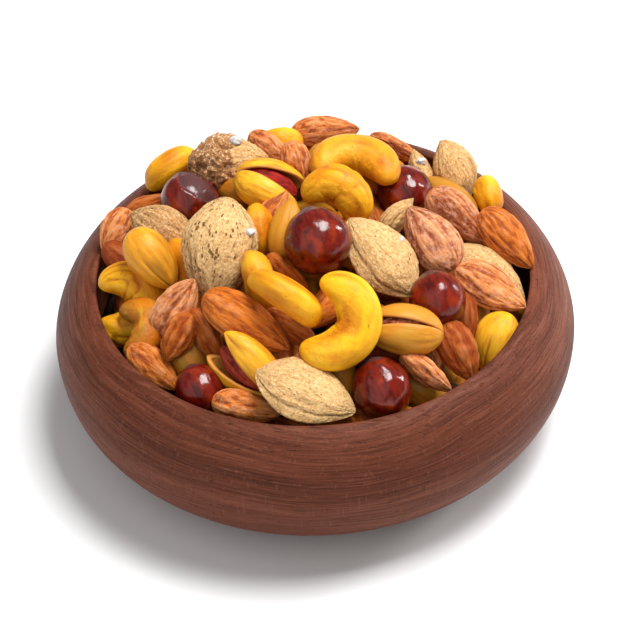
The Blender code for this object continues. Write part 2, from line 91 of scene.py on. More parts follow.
# The photograph's viewpoint, which looks along +Y and down; its frame is 640 pixels square
VIEW_ELEVATION = math.radians(42.5)
VIEW_ROLL = math.radians(-2.3)
VIEW_DISTANCE = 700.0
VIEW_SHIFT = (-1.5, -0.1)
FOCAL_PIXELS = 2412.0
FRAME_SIZE = 640.0
FRAME_MIDDLE = 320.0
SENSOR_WIDTH = 36.0

# Kinds of nut, and how thick each is for its width
KERNEL = "almond_kernel"
ALMOND = "almond_in_shell"
CASHEW = "cashew"
PISTACHIO = "pistachio"
HAZELNUT = "hazelnut"
THICKNESS = {KERNEL: 0.62, ALMOND: 0.66, CASHEW: 0.9, PISTACHIO: 0.92, HAZELNUT: 1.0}
POINTEDNESS = {KERNEL: 0.28, ALMOND: 0.18, PISTACHIO: 0.14, HAZELNUT: 0.06}
END_FEELERS = {KERNEL: (0.6, 0.8), ALMOND: (0.6, 0.8), PISTACHIO: (0.42, 0.85)}
TAPER_FILL = 0.6
CASHEW_END = 0.85
CASHEW_TAPER = 0.06
CASHEW_FOLD = 0.1
KERNEL_IN_SHELL = 0.8
KERNEL_WEAR = 0.9
SHELL_WALL = 0.9

# Nuts for the bare places: kind, length, width and bend
FILLER_KINDS = ((KERNEL, 20.0, 11.0, 0.0), (CASHEW, 22.0, 10.0, 220.0), (PISTACHIO, 20.0, 12.0, 0.0))
FILLER_SEED = 7
FILLER_RINGS = (12.0, 24.0, 36.0, 45.0, 52.0)
FILLER_SPACING = 12.0
FILLER_CLEARANCE = 7.2
FILLER_DEPTH = 5.0
FILLER_ROLL = 30.0
BEARING_SPREAD = 0.2
SIZE_SPREAD = (0.92, 1.06)
LOW_LIFT = -5.5

# The layer under those, which shows through the gaps. Its outermost ring is only in front of a
# limit in Y, where the bowl's rim hides it from the photograph's viewpoint.
FRONT_RING = 58.0
FRONT_RING_LIMIT = -38.0
DEEP_SEED = 11
DEEP_RINGS = (5.0, 17.0, 29.0, 41.0, 52.0, FRONT_RING)
DEEP_SPACING = 13.0
DEEP_DEPTH = 14.0

# The core under both layers, near black as painted shade
CORE_DEPTH = 19.0
CORE_RADIUS = HOLLOW_RADIUS - 3.0
CORE_BOTTOM = ((HOLLOW_RADIUS - 10.0, 20.0), (HOLLOW_RADIUS - 30.0, 12.0), (0.0, 10.0))
CORE_RINGS = 24
CORE_SEGMENTS = 64

# Mesh points for each millimetre around a nut's width and along its length
FINENESS = {KERNEL: (4.8, 2.4), ALMOND: (6.0, 3.0), CASHEW: (4.8, 3.6), PISTACHIO: (5.0, 2.8),
            HAZELNUT: (5.0, 3.2)}
FILLER_SIDES = (30, 20)
DEEP_SIDES = (24, 16)

# Each nut that shows, kind by kind. A row begins with its middle in the photograph, u and v in
# pixels, and three angles in degrees: turn is where its pointed end lies, anticlockwise from the
# right; tip raises that end towards the viewer; roll turns it about its length. Length, width and
# lift towards the viewer follow in millimetres, then the angle of a cashew's bend or an open
# pistachio's gape. The last two are its tint, which picks between its kind's colours from 0 to 1,
# and its wear, which is how deep its wrinkles, pits or cracks are.
# Tints at the dark end of a kind's ramp, given to nuts low in the gaps, are painted shade.
Nut = namedtuple("Nut", "kind u v turn tip roll length width lift angle", defaults=(0.0,))
HEAP = {ALMOND: (
    (223, 249, -99, 0, 0, 29.8, 20.6, 2.6, 0.0, 1.0),
    (381, 256, 131, 0, 30, 27.8, 18.0, 1.0, 0.16, 0.45),
    (307, 393, -22, 0, -35, 29.0, 18.0, 1.0, 0.12, 0.5),
    (454, 170, 118, 20, 20, 20.0, 13.2, 1.0, 0.4, 0.5),
    (489, 272, -38, 0, -30, 26.0, 13.6, -5.0, 0.2, 0.7),
    (395, 219, 48, 0, 75, 16.0, 10.0, -3.0, 0.3, 0.5),
    (229, 163, 5, 0, 20, 24.5, 16.0, -1.0, 1.0, 1.4),
    (421, 171, 110, 0, 60, 14.0, 9.0, -4.0, 0.3, 0.7),
    (168, 233, -30, 0, 20, 24.0, 15.0, -7.0, 0.6, 0.8),
), KERNEL: (
    (246, 324, -33, 0, 0, 27.8, 12.8, 3.0, 0.12, 0.45),
    (176, 307, 55, 20, 10, 20.0, 11.2, 2.0, 0.75, 1.3),
    (178, 338, -118, -10, 0, 15.5, 9.0, -2.0, 0.06, 1.1),
    (154, 368, -42, 0, 0, 18.5, 9.6, -1.0, 0.25, 0.6),
    (208, 340, -60, 0, 50, 20.0, 9.0, -4.0, 0.05, 0.7),
    (246, 408, -12, 0, 10, 19.0, 9.4, 0.0, 0.4, 0.8),
    (293, 330, -35, 0, 30, 18.0, 8.6, -3.0, 0.07, 0.7),
    (289, 276, -42, 0, 50, 17.0, 8.6, -5.0, 0.07, 0.8),
    (426, 373, -35, 0, 60, 17.0, 9.6, 0.0, 0.65, 0.9),
    (459, 352, -65, 0, 10, 18.0, 11.0, -1.0, 0.04, 1.2),
    (491, 289, -29, 0, -10, 22.5, 12.5, 2.0, 0.6, 1.1),
    (508, 241, -48, 0, 0, 22.0, 11.6, 4.6, 0.22, 0.9),
    (431, 238, 127, 0, 0, 22.0, 14.2, 2.0, 1.0, 1.2),
    (458, 217, -41, 0, 20, 22.0, 12.4, 1.0, 0.85, 0.5),
    (325, 132, 5, 0, 30, 21.0, 11.0, 1.0, 0.5, 0.5),
    (397, 149, -27, 0, 50, 18.0, 7.2, -2.0, 0.55, 1.0),
    (271, 150, -38, 0, 30, 16.0, 8.6, -2.0, 0.6, 0.6),
    (297, 164, -70, 0, 20, 14.0, 9.0, -1.0, 0.5, 1.0),
    (149, 209, 27, 0, 40, 17.0, 9.4, -1.0, 0.06, 0.7),
    (115, 233, -118, 0, 0, 15.0, 9.8, 3.0, 0.55, 0.8),
    (125, 262, -40, 0, 20, 16.0, 9.0, -7.0, 0.02, 0.7),
    (463, 322, -88, 0, 30, 18.0, 9.0, -6.0, 0.03, 0.7),
    (274, 211, 60, 0, 0, 14.0, 9.0, -6.0, 0.4, 0.7),
    (350, 380, -20, 0, 0, 18.0, 10.0, -7.0, 0.0, 0.7),
    (380, 353, -15, 0, 0, 20.0, 12.0, -7.0, 0.0, 0.7),
), CASHEW: (
    (335, 323, -107, 0, 0, 28.5, 12.2, 4.0, 235, 0.08, 0.4),
    (356, 166, -6, 0, -52, 27.5, 11.8, 3.0, 225, 0.55, 0.5),
    (126, 304, -90, 0, 0, 24.5, 12.4, -4.0, 290, 0.3, 1.0),
    (285, 297, -33, 0, 80, 25.5, 9.8, 2.0, 190, 0.25, 0.5),
    (255, 281, -75, 0, 70, 19.0, 9.5, -3.0, 190, 0.5, 0.5),
    (336, 198, -28, 0, 20, 22.0, 11.6, -1.0, 230, 0.4, 0.8),
    (488, 198, -72, 40, 80, 15.0, 9.0, 0.0, 200, 0.35, 0.6),
    (258, 231, -85, 0, 90, 18.0, 9.8, -2.0, 190, 0.4, 0.6),
    (170, 169, 38, 0, 80, 19.6, 9.4, 0.0, 190, 0.3, 0.5),
    (278, 146, 10, 0, 60, 16.0, 8.6, -2.0, 200, 0.4, 0.5),
    (181, 268, -75, 0, 60, 19.0, 9.0, -5.0, 200, 0.6, 0.5),
), PISTACHIO: (
    (270, 186, -18, 0, -35, 20.5, 12.6, 2.0, 24, 0.0, 0.5),
    (153, 259, -52, 0, 20, 20.0, 13.0, 2.0, 0.45, 0.5),
    (286, 233, 80, 0, 30, 19.0, 10.0, -1.0, 0.75, 0.8),
    (247, 366, 142, 0, -35, 22.0, 12.0, 1.0, 26, 0.15, 0.5),
    (404, 330, 172, 0, 25, 21.5, 13.0, 1.0, 9, 0.8, 0.5),
    (497, 340, -110, 0, 20, 18.0, 13.0, -5.0, 0.1, 0.5),
    (337, 374, -70, 0, 20, 18.0, 11.0, -6.0, 0.95, 0.5),
    (472, 316, -60, 0, 20, 18.0, 11.0, -7.0, 0.9, 0.5),
    (190, 361, -60, 0, 20, 18.0, 11.0, -7.0, 1.0, 0.5),
    (420, 389, -30, 0, 20, 18.0, 11.0, -8.0, 1.0, 0.5),
), HAZELNUT: (
    (318, 240, 110, 0, 0, 19.2, 19.0, 2.0, 0.3, 0.8),
    (437, 299, 110, 0, 0, 16.6, 16.0, -1.0, 0.6, 0.6),
    (382, 388, 110, 0, 0, 17.6, 16.2, 0.0, 0.35, 1.0),
    (188, 201, 110, 0, 0, 17.2, 17.0, 1.0, 0.8, 0.8),
    (403, 191, 110, 0, 0, 16.6, 16.4, -4.0, 0.4, 0.8),
    (200, 389, 110, 0, 0, 14.8, 14.4, -2.0, 0.2, 0.6),
)}
SEEN = [Nut(kind, *row[:-2]) for kind, rows in HEAP.items() for row in rows]
LOOKS = [row[-2:] for rows in HEAP.values() for row in rows]

# By a nut's place in that list: the side of an almond's keel where it isn't the usual one, and the
# direction of the hazelnut's broken place, in the photograph's right, up and backward
USUAL_KEEL_SIDE = -1.0
KEEL_SIDES = {1: 1.0}
CRACKS = {58: (0.5, 0.75, 0.43)}

# Lumps of salt: where each shows in the photograph, in pixels, and its radius
SALT = ((236, 140, 1.9), (250, 232, 1.5), (401, 239, 1.0), (421, 161, 1.5))
SALT_SIDES = (36, 24)
SALT_FLATNESS = (1.0, 0.8, 0.7)
SALT_SWELL = 0.3
SALT_SEED_STEP = 3.1
SALT_SEED_START = 0.5

# Noise on a nut's surface: bumps along the nut, bumps around it, its own number, and its depth in
# millimetres, or 1 where it makes grooves or folds, whose depths are below
KERNEL_BROAD = (1.3, 3.2, 1, 0.28)
KERNEL_VEINS = (1.9, 6.5, 2, 1.0)
KERNEL_FINE = (5.0, 15.0, 3, 0.13)
KERNEL_CROSS = (6.0, 4.0, 18, 0.12)
ALMOND_BROAD = (1.6, 1.8, 4, 0.35)
ALMOND_FIBRES = (3.0, 12.0, 5, 0.2)
CASHEW_LUMPS = (2.4, 1.3, 7, 0.42)
CASHEW_VEINS = (1.6, 3.4, 8, 0.16)
CASHEW_WRINKLES = (14.0, 2.0, 9, 0.5)
CASHEW_FOLDS = (4.2, 1.9, 22, 1.0)
PISTACHIO_BROAD = (1.5, 1.4, 10, 0.25)
PISTACHIO_LINES = (1.2, 6.0, 11, 0.3)
HAZELNUT_RIPPLES = (3.0, 5.0, 13, 0.15)

# Depths in millimetres, and edges as a share of the way from a nut's middle to its end
KERNEL_GROOVE = 0.42
KERNEL_GROOVE_RISE = 0.25
CASHEW_FOLD_DEPTH = 1.3
FOLDED_WEAR = 0.5
SEAM_DEPTH = 0.35
SEAM_WIDTH = 0.07
HAZELNUT_DENTS = 0.6
CAP_DEPTH = 0.35
CAP_EDGE = (0.84, 0.88)
BREAK_DEPTH = 1.4
BREAK_EDGE = (0.62, 0.65)
BREAK_LIP = 0.3

# An almond's keel, the grooves beside it, its grit and its pits, and how far its ends draw in.
# Heights and depths are millimetres, and places and widths around the nut are radians.
KEEL_HEIGHT = 0.75
KEEL_WIDTH = 0.16
GROOVES = ((0.46, 0.42), (0.82, 0.2), (math.pi - 0.46, 0.4))
GROOVE_WIDTH = 0.09
GROOVE_WANDER = 0.12
GRIT_SCALE = 1.1
GRIT_DEPTH = 0.18
PITS = 200
PIT_SPREAD = (1.0, 1.2, 0.8)
PIT_WIDTHS = (0.35, 0.9)
PIT_DEPTH = 0.5
BLUNT_END = 1.5
POINTED_END = 0.5

# The husk on one almond: tints above this have it, and the bare shell under it has its own tint
HUSK_TINT = 0.9
BARE_TINT = 0.15
HUSK_EDGE = 0.25
HUSK_DEPTH = 0.5
FLAKE_DEPTH = 0.8
CRUMB_DEPTH = 0.9

# How far an open pistachio's shells stay from their tips, and how wide their rims are, in radians
SHELL_EDGE = 0.02
INSIDE_MARK = 0.8

# The random looks of the nuts that don't show, and each nut's own place in the noise
LOOK_SEED = 3
SPARE_TINTS = (0.0, 0.5)
SPARE_WEAR = (0.4, 1.0)
# Nuts other than almond kernels keep to the dark end of their ramps, as painted shade down in the heap
SHADED_TINT_SPREAD = 0.4
SEED_STEP = 1.7
SEED_START = 0.3
GRAIN_STEP = 7.3

# Large odd numbers that scatter the noise's values
HASH_CELL = (73856093, 19349663, 83492791)
HASH_SEED = 668265263
HASH_FIRST = 1274126177
HASH_SECOND = 461845907
HASH_BITS = 0xFFFFFFFF

# Each kind's piece and the slot of its material
PISTACHIO_KERNEL = "pistachio_kernel"
PIECES = {
    KERNEL: ("almond_kernels", "almond_kernel"),
    ALMOND: ("almonds_in_shell", "almond_shell"),
    CASHEW: ("cashews", "cashew"),
    PISTACHIO: ("pistachio_shells", "pistachio_shell"),
    HAZELNUT: ("hazelnuts", "hazelnut_shell"),
    PISTACHIO_KERNEL: ("pistachio_kernels", "almond_kernel"),
}

# Colours, as linear red, green and blue: each kind's ramp over its tint, then what is mixed in
# The dark end of the cashew and pistachio ramps, and the first stop of the almond skin's, are painted
# shade for nuts low in the heap
CASHEW_TINTS_AND_SHADE = ((0.0, (0.86, 0.46, 0.010)), (0.5, (0.74, 0.32, 0.010)), (1.0, (0.30, 0.105, 0.012)))
CASHEW_CLOUD = (0.66, 0.21, 0.004)
# Painted shade for a cashew's creases and a painted highlight for its crests, both laid by its relief
CASHEW_CREASE_SHADE = (0.46, 0.11, 0.003)
CASHEW_CREST_HIGHLIGHT = (0.94, 0.62, 0.05)
CASHEW_SPECK = (0.20, 0.06, 0.008)
PISTACHIO_TINTS_AND_SHADE = ((0.0, (0.86, 0.44, 0.018)), (0.5, (0.76, 0.32, 0.018)), (1.0, (0.38, 0.16, 0.02)))
PISTACHIO_STREAK = (0.52, 0.16, 0.008)
PISTACHIO_CLOUD = (0.46, 0.30, 0.02)
# Painted shade along a closed shell's seam and in its other low places
PISTACHIO_SEAM_SHADE = (0.20, 0.07, 0.01)
PISTACHIO_INSIDE = (0.62, 0.24, 0.06)
ALMOND_SKIN = (
    (0.0, (0.30, 0.050, 0.014)),
    (0.1, (0.70, 0.175, 0.006)),
    (0.35, (0.76, 0.21, 0.022)),
    (0.7, (0.86, 0.29, 0.085)),
    (1.0, (0.70, 0.28, 0.13)),
)
# The pale colours below go into mottles and, as a painted highlight, onto ridges; the dark ones go into
# streaks and, as painted shade, into wrinkles
ALMOND_SKIN_PALE = (0.90, 0.42, 0.17)
ALMOND_SKIN_DARK = (0.27, 0.040, 0.005)
PISTACHIO_SKIN = ((0.0, (0.46, 0.02, 0.015)), (0.35, (0.44, 0.07, 0.02)), (1.0, (0.40, 0.10, 0.03)))
PISTACHIO_SKIN_PALE = (0.62, 0.16, 0.07)
PISTACHIO_SKIN_DARK = (0.12, 0.012, 0.008)
SALT_DUST = (0.84, 0.52, 0.38)
ALMOND_TINTS = ((0.0, (0.86, 0.53, 0.21)), (0.45, (0.74, 0.41, 0.145)), (1.0, (0.40, 0.165, 0.055)))
ALMOND_FIBRE = (0.46, 0.20, 0.06)
ALMOND_PALE_GRIT = (0.93, 0.68, 0.37)
ALMOND_DARK_GRIT = (0.48, 0.22, 0.07)
# Painted shade for the shell's small pits, its grooves and its deep pits
ALMOND_SMALL_PIT_SHADE = (0.16, 0.05, 0.014)
ALMOND_GROOVE_SHADE = (0.22, 0.10, 0.035)
ALMOND_PIT_SHADE = (0.07, 0.026, 0.01)
HUSK_CRUMB = (0.82, 0.62, 0.44)
HAZELNUT_TINTS = ((0.0, (0.125, 0.004, 0.002)), (0.5, (0.16, 0.008, 0.002)), (1.0, (0.14, 0.010, 0.004)))
HAZELNUT_STREAK = (0.034, 0.003, 0.002)
HAZELNUT_CLOUD = (0.36, 0.035, 0.004)
HAZELNUT_CAP = (0.085, 0.030, 0.030)

# Colours of the wood, the core and the salt, and how far the growth lines sway, in millimetres
WOOD_BANDS = ((0.32, (0.088, 0.022, 0.011)), (0.5, (0.129, 0.034, 0.016)), (0.68, (0.184, 0.054, 0.028)))
WOOD_DARK_LINE = (0.042, 0.011, 0.006)
WOOD_PALE_LINE = (0.22, 0.078, 0.046)
WOOD_PORE = (0.022, 0.007, 0.004)
WOOD_RAY = (0.26, 0.11, 0.07)
WOOD_SWAY = 10.0
# The core's near-black colours are painted shade
CORE_SHADE_TONES = ((0.35, (0.012, 0.005, 0.003)), (0.7, (0.06, 0.022, 0.01)))
SALT_TONES = ((0.3, (0.38, 0.35, 0.33)), (0.6, (0.62, 0.59, 0.57)))

# The stage, in metres and watts: each light has its name, place, size and power
FLOOR_REACH = 3.0
FLOOR_COLOUR = (0.82, 0.82, 0.82, 1.0)
WORLD_STRENGTH = 0.26
LIGHTS = (
    ("top", (0.3, 0.1, 1.05), (0.55, 0.45), 17.0),
    ("side", (0.9, 0.35, 0.42), (0.16, 0.3), 4.5),
    ("fill", (-0.5, -0.9, 0.9), (2.2, 2.2), 9.6),
)


def quarter_arc(middle, sizes, power, first, last, count):
    """Points (r, z) along a quarter of a superellipse, from the first angle in degrees to the last."""
    turns = np.radians(np.linspace(first, last, count))
    across = middle[0] + sizes[0] * np.cos(turns).clip(0.0) ** (2.0 / power)
    height = middle[1] + sizes[1] * np.sin(turns).clip(0.0) ** (2.0 / power)
    return np.column_stack([across, height])


def bowl_profile():
    """The bowl's half section, from the middle of its hollow over the lip to its foot's middle."""
    lip_height = BOWL_HEIGHT - LIP_ROUNDING
    floor_size = (HOLLOW_RADIUS, FLOOR_THICKNESS - HOLLOW_HEIGHT)
    wall_size = (HOLLOW_RADIUS - MOUTH_RADIUS, lip_height - HOLLOW_HEIGHT)
    lip_size = (MOUTH_RADIUS - LIP_RADIUS, LIP_ROUNDING)
    shoulder_size = (BOWL_RADIUS - LIP_RADIUS, BOWL_HEIGHT - WIDEST_HEIGHT)
    belly_size = (BOWL_RADIUS - FOOT_RADIUS, -WIDEST_HEIGHT)
    return np.vstack([
        quarter_arc((0.0, HOLLOW_HEIGHT), floor_size, HOLLOW_POWER, 90.0, 0.0, 24),
        quarter_arc((MOUTH_RADIUS, HOLLOW_HEIGHT), wall_size, ROUND_POWER, 5.0, 90.0, 14),
        quarter_arc((LIP_RADIUS, lip_height), lip_size, ROUND_POWER, 18.0, 80.0, 4),
        quarter_arc((LIP_RADIUS, WIDEST_HEIGHT), shoulder_size, SHOULDER_POWER, 90.0, 0.0, 30),
        quarter_arc((FOOT_RADIUS, WIDEST_HEIGHT), belly_size, BELLY_POWER, 3.0, 90.0, 30),
        [(0.0, 0.0)],
    ])


def view_axes():
    """The photograph's right, up and backward directions, as rows."""
    c, s = math.cos(VIEW_ROLL), math.sin(VIEW_ROLL)
    right = np.array([1.0, 0.0, 0.0])
    up = np.array([0.0, math.sin(VIEW_ELEVATION), math.cos(VIEW_ELEVATION)])
    return np.array([c * right + s * up, c * up - s * right, np.cross(right, up)])


def eye_point():
    """Where the photograph was taken from."""
    up = np.array([0.0, math.sin(VIEW_ELEVATION), math.cos(VIEW_ELEVATION)])
    back = view_axes()[2]
    middle = np.array([-VIEW_SHIFT[0], 0.0, WIDEST_HEIGHT])
    return middle + VIEW_SHIFT[1] * up + VIEW_DISTANCE * back


def dome_height(x, y):
    """Height of the heap's middle surface, which the nuts' centres lie on."""
    fall = DOME_FALL * (x * x + y * y) / DOME_RADIUS**2
    return BOWL_HEIGHT + DOME_RISE - fall + DOME_LEAN * y


def sight_line(u, v):
    """Direction from the eye through a pixel of the photograph."""
    right, up, back = view_axes()
    line = right * (u - FRAME_MIDDLE) - up * (v - FRAME_MIDDLE) - back * FOCAL_PIXELS
    return line / np.linalg.norm(line)


def home_of(nut):
    """Where a nut's middle lies: its sight line meets the dome, within reach of the middle."""
    eye = eye_point()
    line = sight_line(nut.u, nut.v)
    height = BOWL_HEIGHT + DOME_RISE
    for _ in range(HOME_STEPS):
        point = eye + line * (height - eye[2]) / line[2]
        height = dome_height(point[0], point[1])
    reach = math.hypot(point[0], point[1])
    if reach > NUT_REACH:
        inward = point[:2] * NUT_REACH / reach
        along = np.dot(inward - eye[:2], line[:2]) / np.dot(line[:2], line[:2])
        point = eye + line * along
    return point - line * nut.lift


def rotation(x_axis, y_axis, z_axis, nut):
    """Turns a nut's own axes into the given ones, then by its turn, tip and roll."""
    axes = np.column_stack([x_axis, y_axis, z_axis])
    turn = Matrix.Rotation(math.radians(nut.turn), 3, "Z")
    tip = Matrix.Rotation(math.radians(-nut.tip), 3, "Y")
    roll = Matrix.Rotation(math.radians(nut.roll), 3, "X")
    return axes @ np.array(turn @ tip @ roll)


def cashew_section(where):
    """Share of a cashew's greatest radius at a place along it, from -1 to 1."""
    return np.sqrt((1.0 - np.abs(where) ** 3).clip(0.0)) * (1.0 + CASHEW_TAPER * where)


def cashew_arc(nut):
    """The radius that a cashew is bent to."""
    return (nut.length - nut.width * CASHEW_END) / 2


def cashew_shift(nut):
    """How far a cashew's middle lies from the middle of its bend."""
    arc = cashew_arc(nut)
    middle = arc * (1.0 + math.cos(math.radians(nut.angle) / 2))
    return (middle + nut.width / 2 * (1.0 - CASHEW_END)) / 2


def shape_points(nut, ball, relief):
    """Moves points of a unit sphere with poles on X onto the nut's own form, raised by relief."""
    half_length, half_width = nut.length / 2, nut.width / 2
    half_thickness = half_width * THICKNESS[nut.kind]
    x, y, z = ball.T
    if nut.kind == CASHEW:
        around = np.arctan2(z, y)
        bend = x * math.radians(nut.angle) / 2
        section = half_width * cashew_section(x) + relief
        out = (cashew_arc(nut) + section * np.cos(around)).clip(half_width * CASHEW_FOLD)
        thick = section * np.sin(around) * THICKNESS[CASHEW]
        return np.column_stack([out * np.sin(bend), out * np.cos(bend) - cashew_shift(nut), thick])
    taper = ((1.0 - x).clip(0.0) / 2) ** POINTEDNESS[nut.kind]
    taper = taper * (1.0 + TAPER_FILL * POINTEDNESS[nut.kind])
    ring = np.hypot(y, z).clip(1e-6)
    across = y * half_width * taper + y / ring * relief
    thick = z * half_thickness * taper + z / ring * relief
    return np.column_stack([x * half_length, across, thick])


def feelers(nut):
    """Balls that stand for a nut while the heap settles, each as (x, y, radius)."""
    half_length, half_width = nut.length / 2, nut.width / 2
    half_thickness = half_width * THICKNESS[nut.kind]
    if nut.kind == HAZELNUT:
        return [(0.0, 0.0, half_width)]
    if nut.kind == CASHEW:
        balls = []
        for where in CASHEW_FEELERS:
            bend = where * math.radians(nut.angle) / 2
            across = cashew_arc(nut) * math.cos(bend) - cashew_shift(nut)
            radius = half_width * float(cashew_section(where))
            balls.append((cashew_arc(nut) * math.sin(bend), across, radius))
        return balls
    along, size = END_FEELERS[nut.kind]
    balls = [(0.0, 0.0, half_thickness)]
    balls += [(end * half_length * along, 0.0, half_thickness * size) for end in (-1, 1)]
    if nut.kind != PISTACHIO:
        along, size = SIDE_FEELERS
        radius = half_thickness * size
        for end, side in ((-1, -1), (-1, 1), (1, -1), (1, 1)):
            balls.append((end * half_length * along, side * (half_width - radius), radius))
    return balls


def nearest_on_profile(profile, points):
    """For points (r, z), the nearest points of the profile's line."""
    start, end = profile[:-1], profile[1:]
    run = end - start
    share = ((points[:, None] - start) * run).sum(axis=2) / (run * run).sum(axis=1)
    near = start + share.clip(0.0, 1.0)[..., None] * run
    best = ((points[:, None] - near) ** 2).sum(axis=2).argmin(axis=1)
    return near[np.arange(len(points)), best]


def clear_of_bowl(profile, middles, radii):
    """How far each ball has to move to stay clear of the wood."""
    reach = np.hypot(middles[:, 0], middles[:, 1]).clip(1e-6)
    flat = np.column_stack([reach, middles[:, 2]])
    away = flat - nearest_on_profile(profile, flat)
    distance = np.linalg.norm(away, axis=1).clip(1e-6)
    need = (radii + RIM_CLEARANCE - distance).clip(0.0)
    step = away / distance[:, None] * need[:, None]
    outward = middles[:, :2] / reach[:, None]
    return np.column_stack([outward * step[:, :1], step[:, 1]])


def settle(homes, turns, nuts, settled, steps):
    """Pushes overlapping nuts apart, mostly along the line of sight, and clear of the bowl.

    The first nuts, as many as settled says, already lie in their places.
    """
    balls = [np.array(feelers(nut)) for nut in nuts]
    owner = np.repeat(np.arange(len(nuts)), [len(group) for group in balls])
    offsets = np.vstack([group[:, :2] @ turn[:, :2].T for group, turn in zip(balls, turns)])
    radii = np.concatenate([group[:, 2] for group in balls])
    sight = homes - eye_point()
    sight = sight / np.linalg.norm(sight, axis=1)[:, None]
    other = owner[:, None] != owner
    reach = (radii[:, None] + radii - TOUCH) * other
    profile = bowl_profile()
    places = homes.copy()
    for _ in range(steps):
        middles = places[owner] + offsets
        apart = middles[:, None] - middles
        distance = np.sqrt((apart**2).sum(axis=2)) + 1e-6
        push = (apart * ((reach - distance).clip(0.0) / distance)[..., None]).sum(axis=1)
        move = np.zeros_like(places)
        np.add.at(move, owner, PUSH_SHARE * push)
        depth = (move * sight).sum(axis=1)[:, None] * sight
        move = depth + SIDEWAYS_SHARE * (move - depth)
        back = homes - places
        back_depth = (back * sight).sum(axis=1)[:, None] * sight
        move += RETURN_ALONG_SIGHT * back_depth + RETURN_ACROSS * (back - back_depth)
        np.add.at(move, owner, RIM_PUSH_SHARE * clear_of_bowl(profile, middles, radii))
        places[settled:] += move[settled:].clip(-LONGEST_STEP, LONGEST_STEP)
    return places


def dome_axes(x, y):
    """Directions along and square to the dome at a place."""
    step = 0.1
    along_x = np.array([step, 0.0, dome_height(x + step, y) - dome_height(x, y)])
    along_y = np.array([0.0, step, dome_height(x, y + step) - dome_height(x, y)])
    upward = np.cross(along_x, along_y)
    upward = upward / np.linalg.norm(upward)
    along_x = along_x / np.linalg.norm(along_x)
    return along_x, np.cross(upward, along_x), upward


def layer_of_nuts(seed, rings, spacing, depth, places, clearance):
    """Nuts at a depth below the dome, clear of the places, each with its place and turn."""
    draw = np.random.default_rng(seed)
    found = []
    taken = [place[:2] for place in places]
    for ring in rings:
        count = round(2.0 * math.pi * ring / spacing)
        for number in range(count):
            bearing = 2.0 * math.pi * (number + draw.uniform(-BEARING_SPREAD, BEARING_SPREAD)) / count
            x, y = ring * math.cos(bearing), ring * math.sin(bearing)
            kind, length, width, angle = FILLER_KINDS[draw.integers(len(FILLER_KINDS))]
            turn, roll = draw.uniform(-180.0, 180.0), draw.uniform(-FILLER_ROLL, FILLER_ROLL)
            size = draw.uniform(*SIZE_SPREAD)
            if min(math.hypot(spot[0] - x, spot[1] - y) for spot in taken) < clearance:
                continue
            if ring == FRONT_RING and y > FRONT_RING_LIMIT:
                continue
            taken.append((x, y))
            nut = Nut(kind, 0.0, 0.0, turn, 0.0, roll, length * size, width * size, LOW_LIFT, angle)
            place = np.array([x, y, dome_height(x, y) - depth])
            found.append((nut, place, rotation(*dome_axes(x, y), nut)))
    return found


def placed_nuts():
    """Every nut of the heap with its settled place and its rotation, and how many are fillers."""
    places = np.array([home_of(nut) for nut in SEEN])
    turns = [rotation(*view_axes(), nut) for nut in SEEN]
    nuts = list(SEEN)
    places = settle(places, turns, nuts, 0, SETTLE_STEPS)
    layers = (
        (FILLER_SEED, FILLER_RINGS, FILLER_SPACING, FILLER_DEPTH, FILLER_CLEARANCE, SETTLE_STEPS),
        (DEEP_SEED, DEEP_RINGS, DEEP_SPACING, DEEP_DEPTH, 0.0, DEEP_SETTLE_STEPS),
    )
    counts = [len(nuts)]
    for seed, rings, spacing, depth, clearance, steps in layers:
        layer = layer_of_nuts(seed, rings, spacing, depth, places, clearance)
        settled = len(nuts)
        nuts += [one[0] for one in layer]
        places = np.vstack([places] + [one[1] for one in layer])
        turns += [one[2] for one in layer]
        places = settle(places, turns, nuts, settled, steps)
        places = np.round(places, 2)
        counts.append(len(layer))
    return nuts, places, turns, counts


def noise(points, seed):
    """Smooth noise from -1 to 1 at points, about one bump for each unit."""
    cell = np.floor(points).astype(np.int64)
    share = points - cell
    share = share * share * (3.0 - 2.0 * share)
    total = np.zeros(len(points))
    for corner in itertools.product((0, 1), repeat=3):
        key = (((cell + corner) * HASH_CELL).sum(axis=1) + seed * HASH_SEED) & HASH_BITS
        key = ((key ^ (key >> 13)) * HASH_FIRST) & HASH_BITS
        key = ((key ^ (key >> 16)) * HASH_SECOND) & HASH_BITS
        value = (key ^ (key >> 13)) / (HASH_BITS // 2) - 1.0
        total += np.where(corner, share, 1.0 - share).prod(axis=1) * value
    return total


def layered_noise(points, seed, layers):
    """Noise from -1 to 1 in layers, each half as big and half as strong as the one before."""
    total = np.zeros(len(points))
    for layer in range(layers):
        total += noise(points * 2.0**layer, seed + layer) / 2.0**layer
    return total / (2.0 - 2.0 ** (1 - layers))


def step_between(low, high, value):
    """A smooth rise from 0 at low to 1 at high."""
    share = ((value - low) / (high - low)).clip(0.0, 1.0)
    return share * share * (3.0 - 2.0 * share)


def grid_points(x, y, z):
    """Points of a grid, row by row, from arrays that spread over it."""
    return np.stack(np.broadcast_arrays(x, y, z), axis=-1).reshape(-1, 3)


def grid_faces(rows, columns, closed):
    """Triangles of a grid of points, row by row; closed joins its last column to its first."""
    starts = np.arange(columns if closed else columns - 1)
    row, column = np.meshgrid(np.arange(rows - 1), starts, indexing="ij")
    right = (column + 1) % columns
    a, b = row * columns + column, row * columns + right
    c, d = a + columns, b + columns
    return np.vstack([
        np.column_stack([a.ravel(), c.ravel(), b.ravel()]),
        np.column_stack([b.ravel(), c.ravel(), d.ravel()]),
    ])


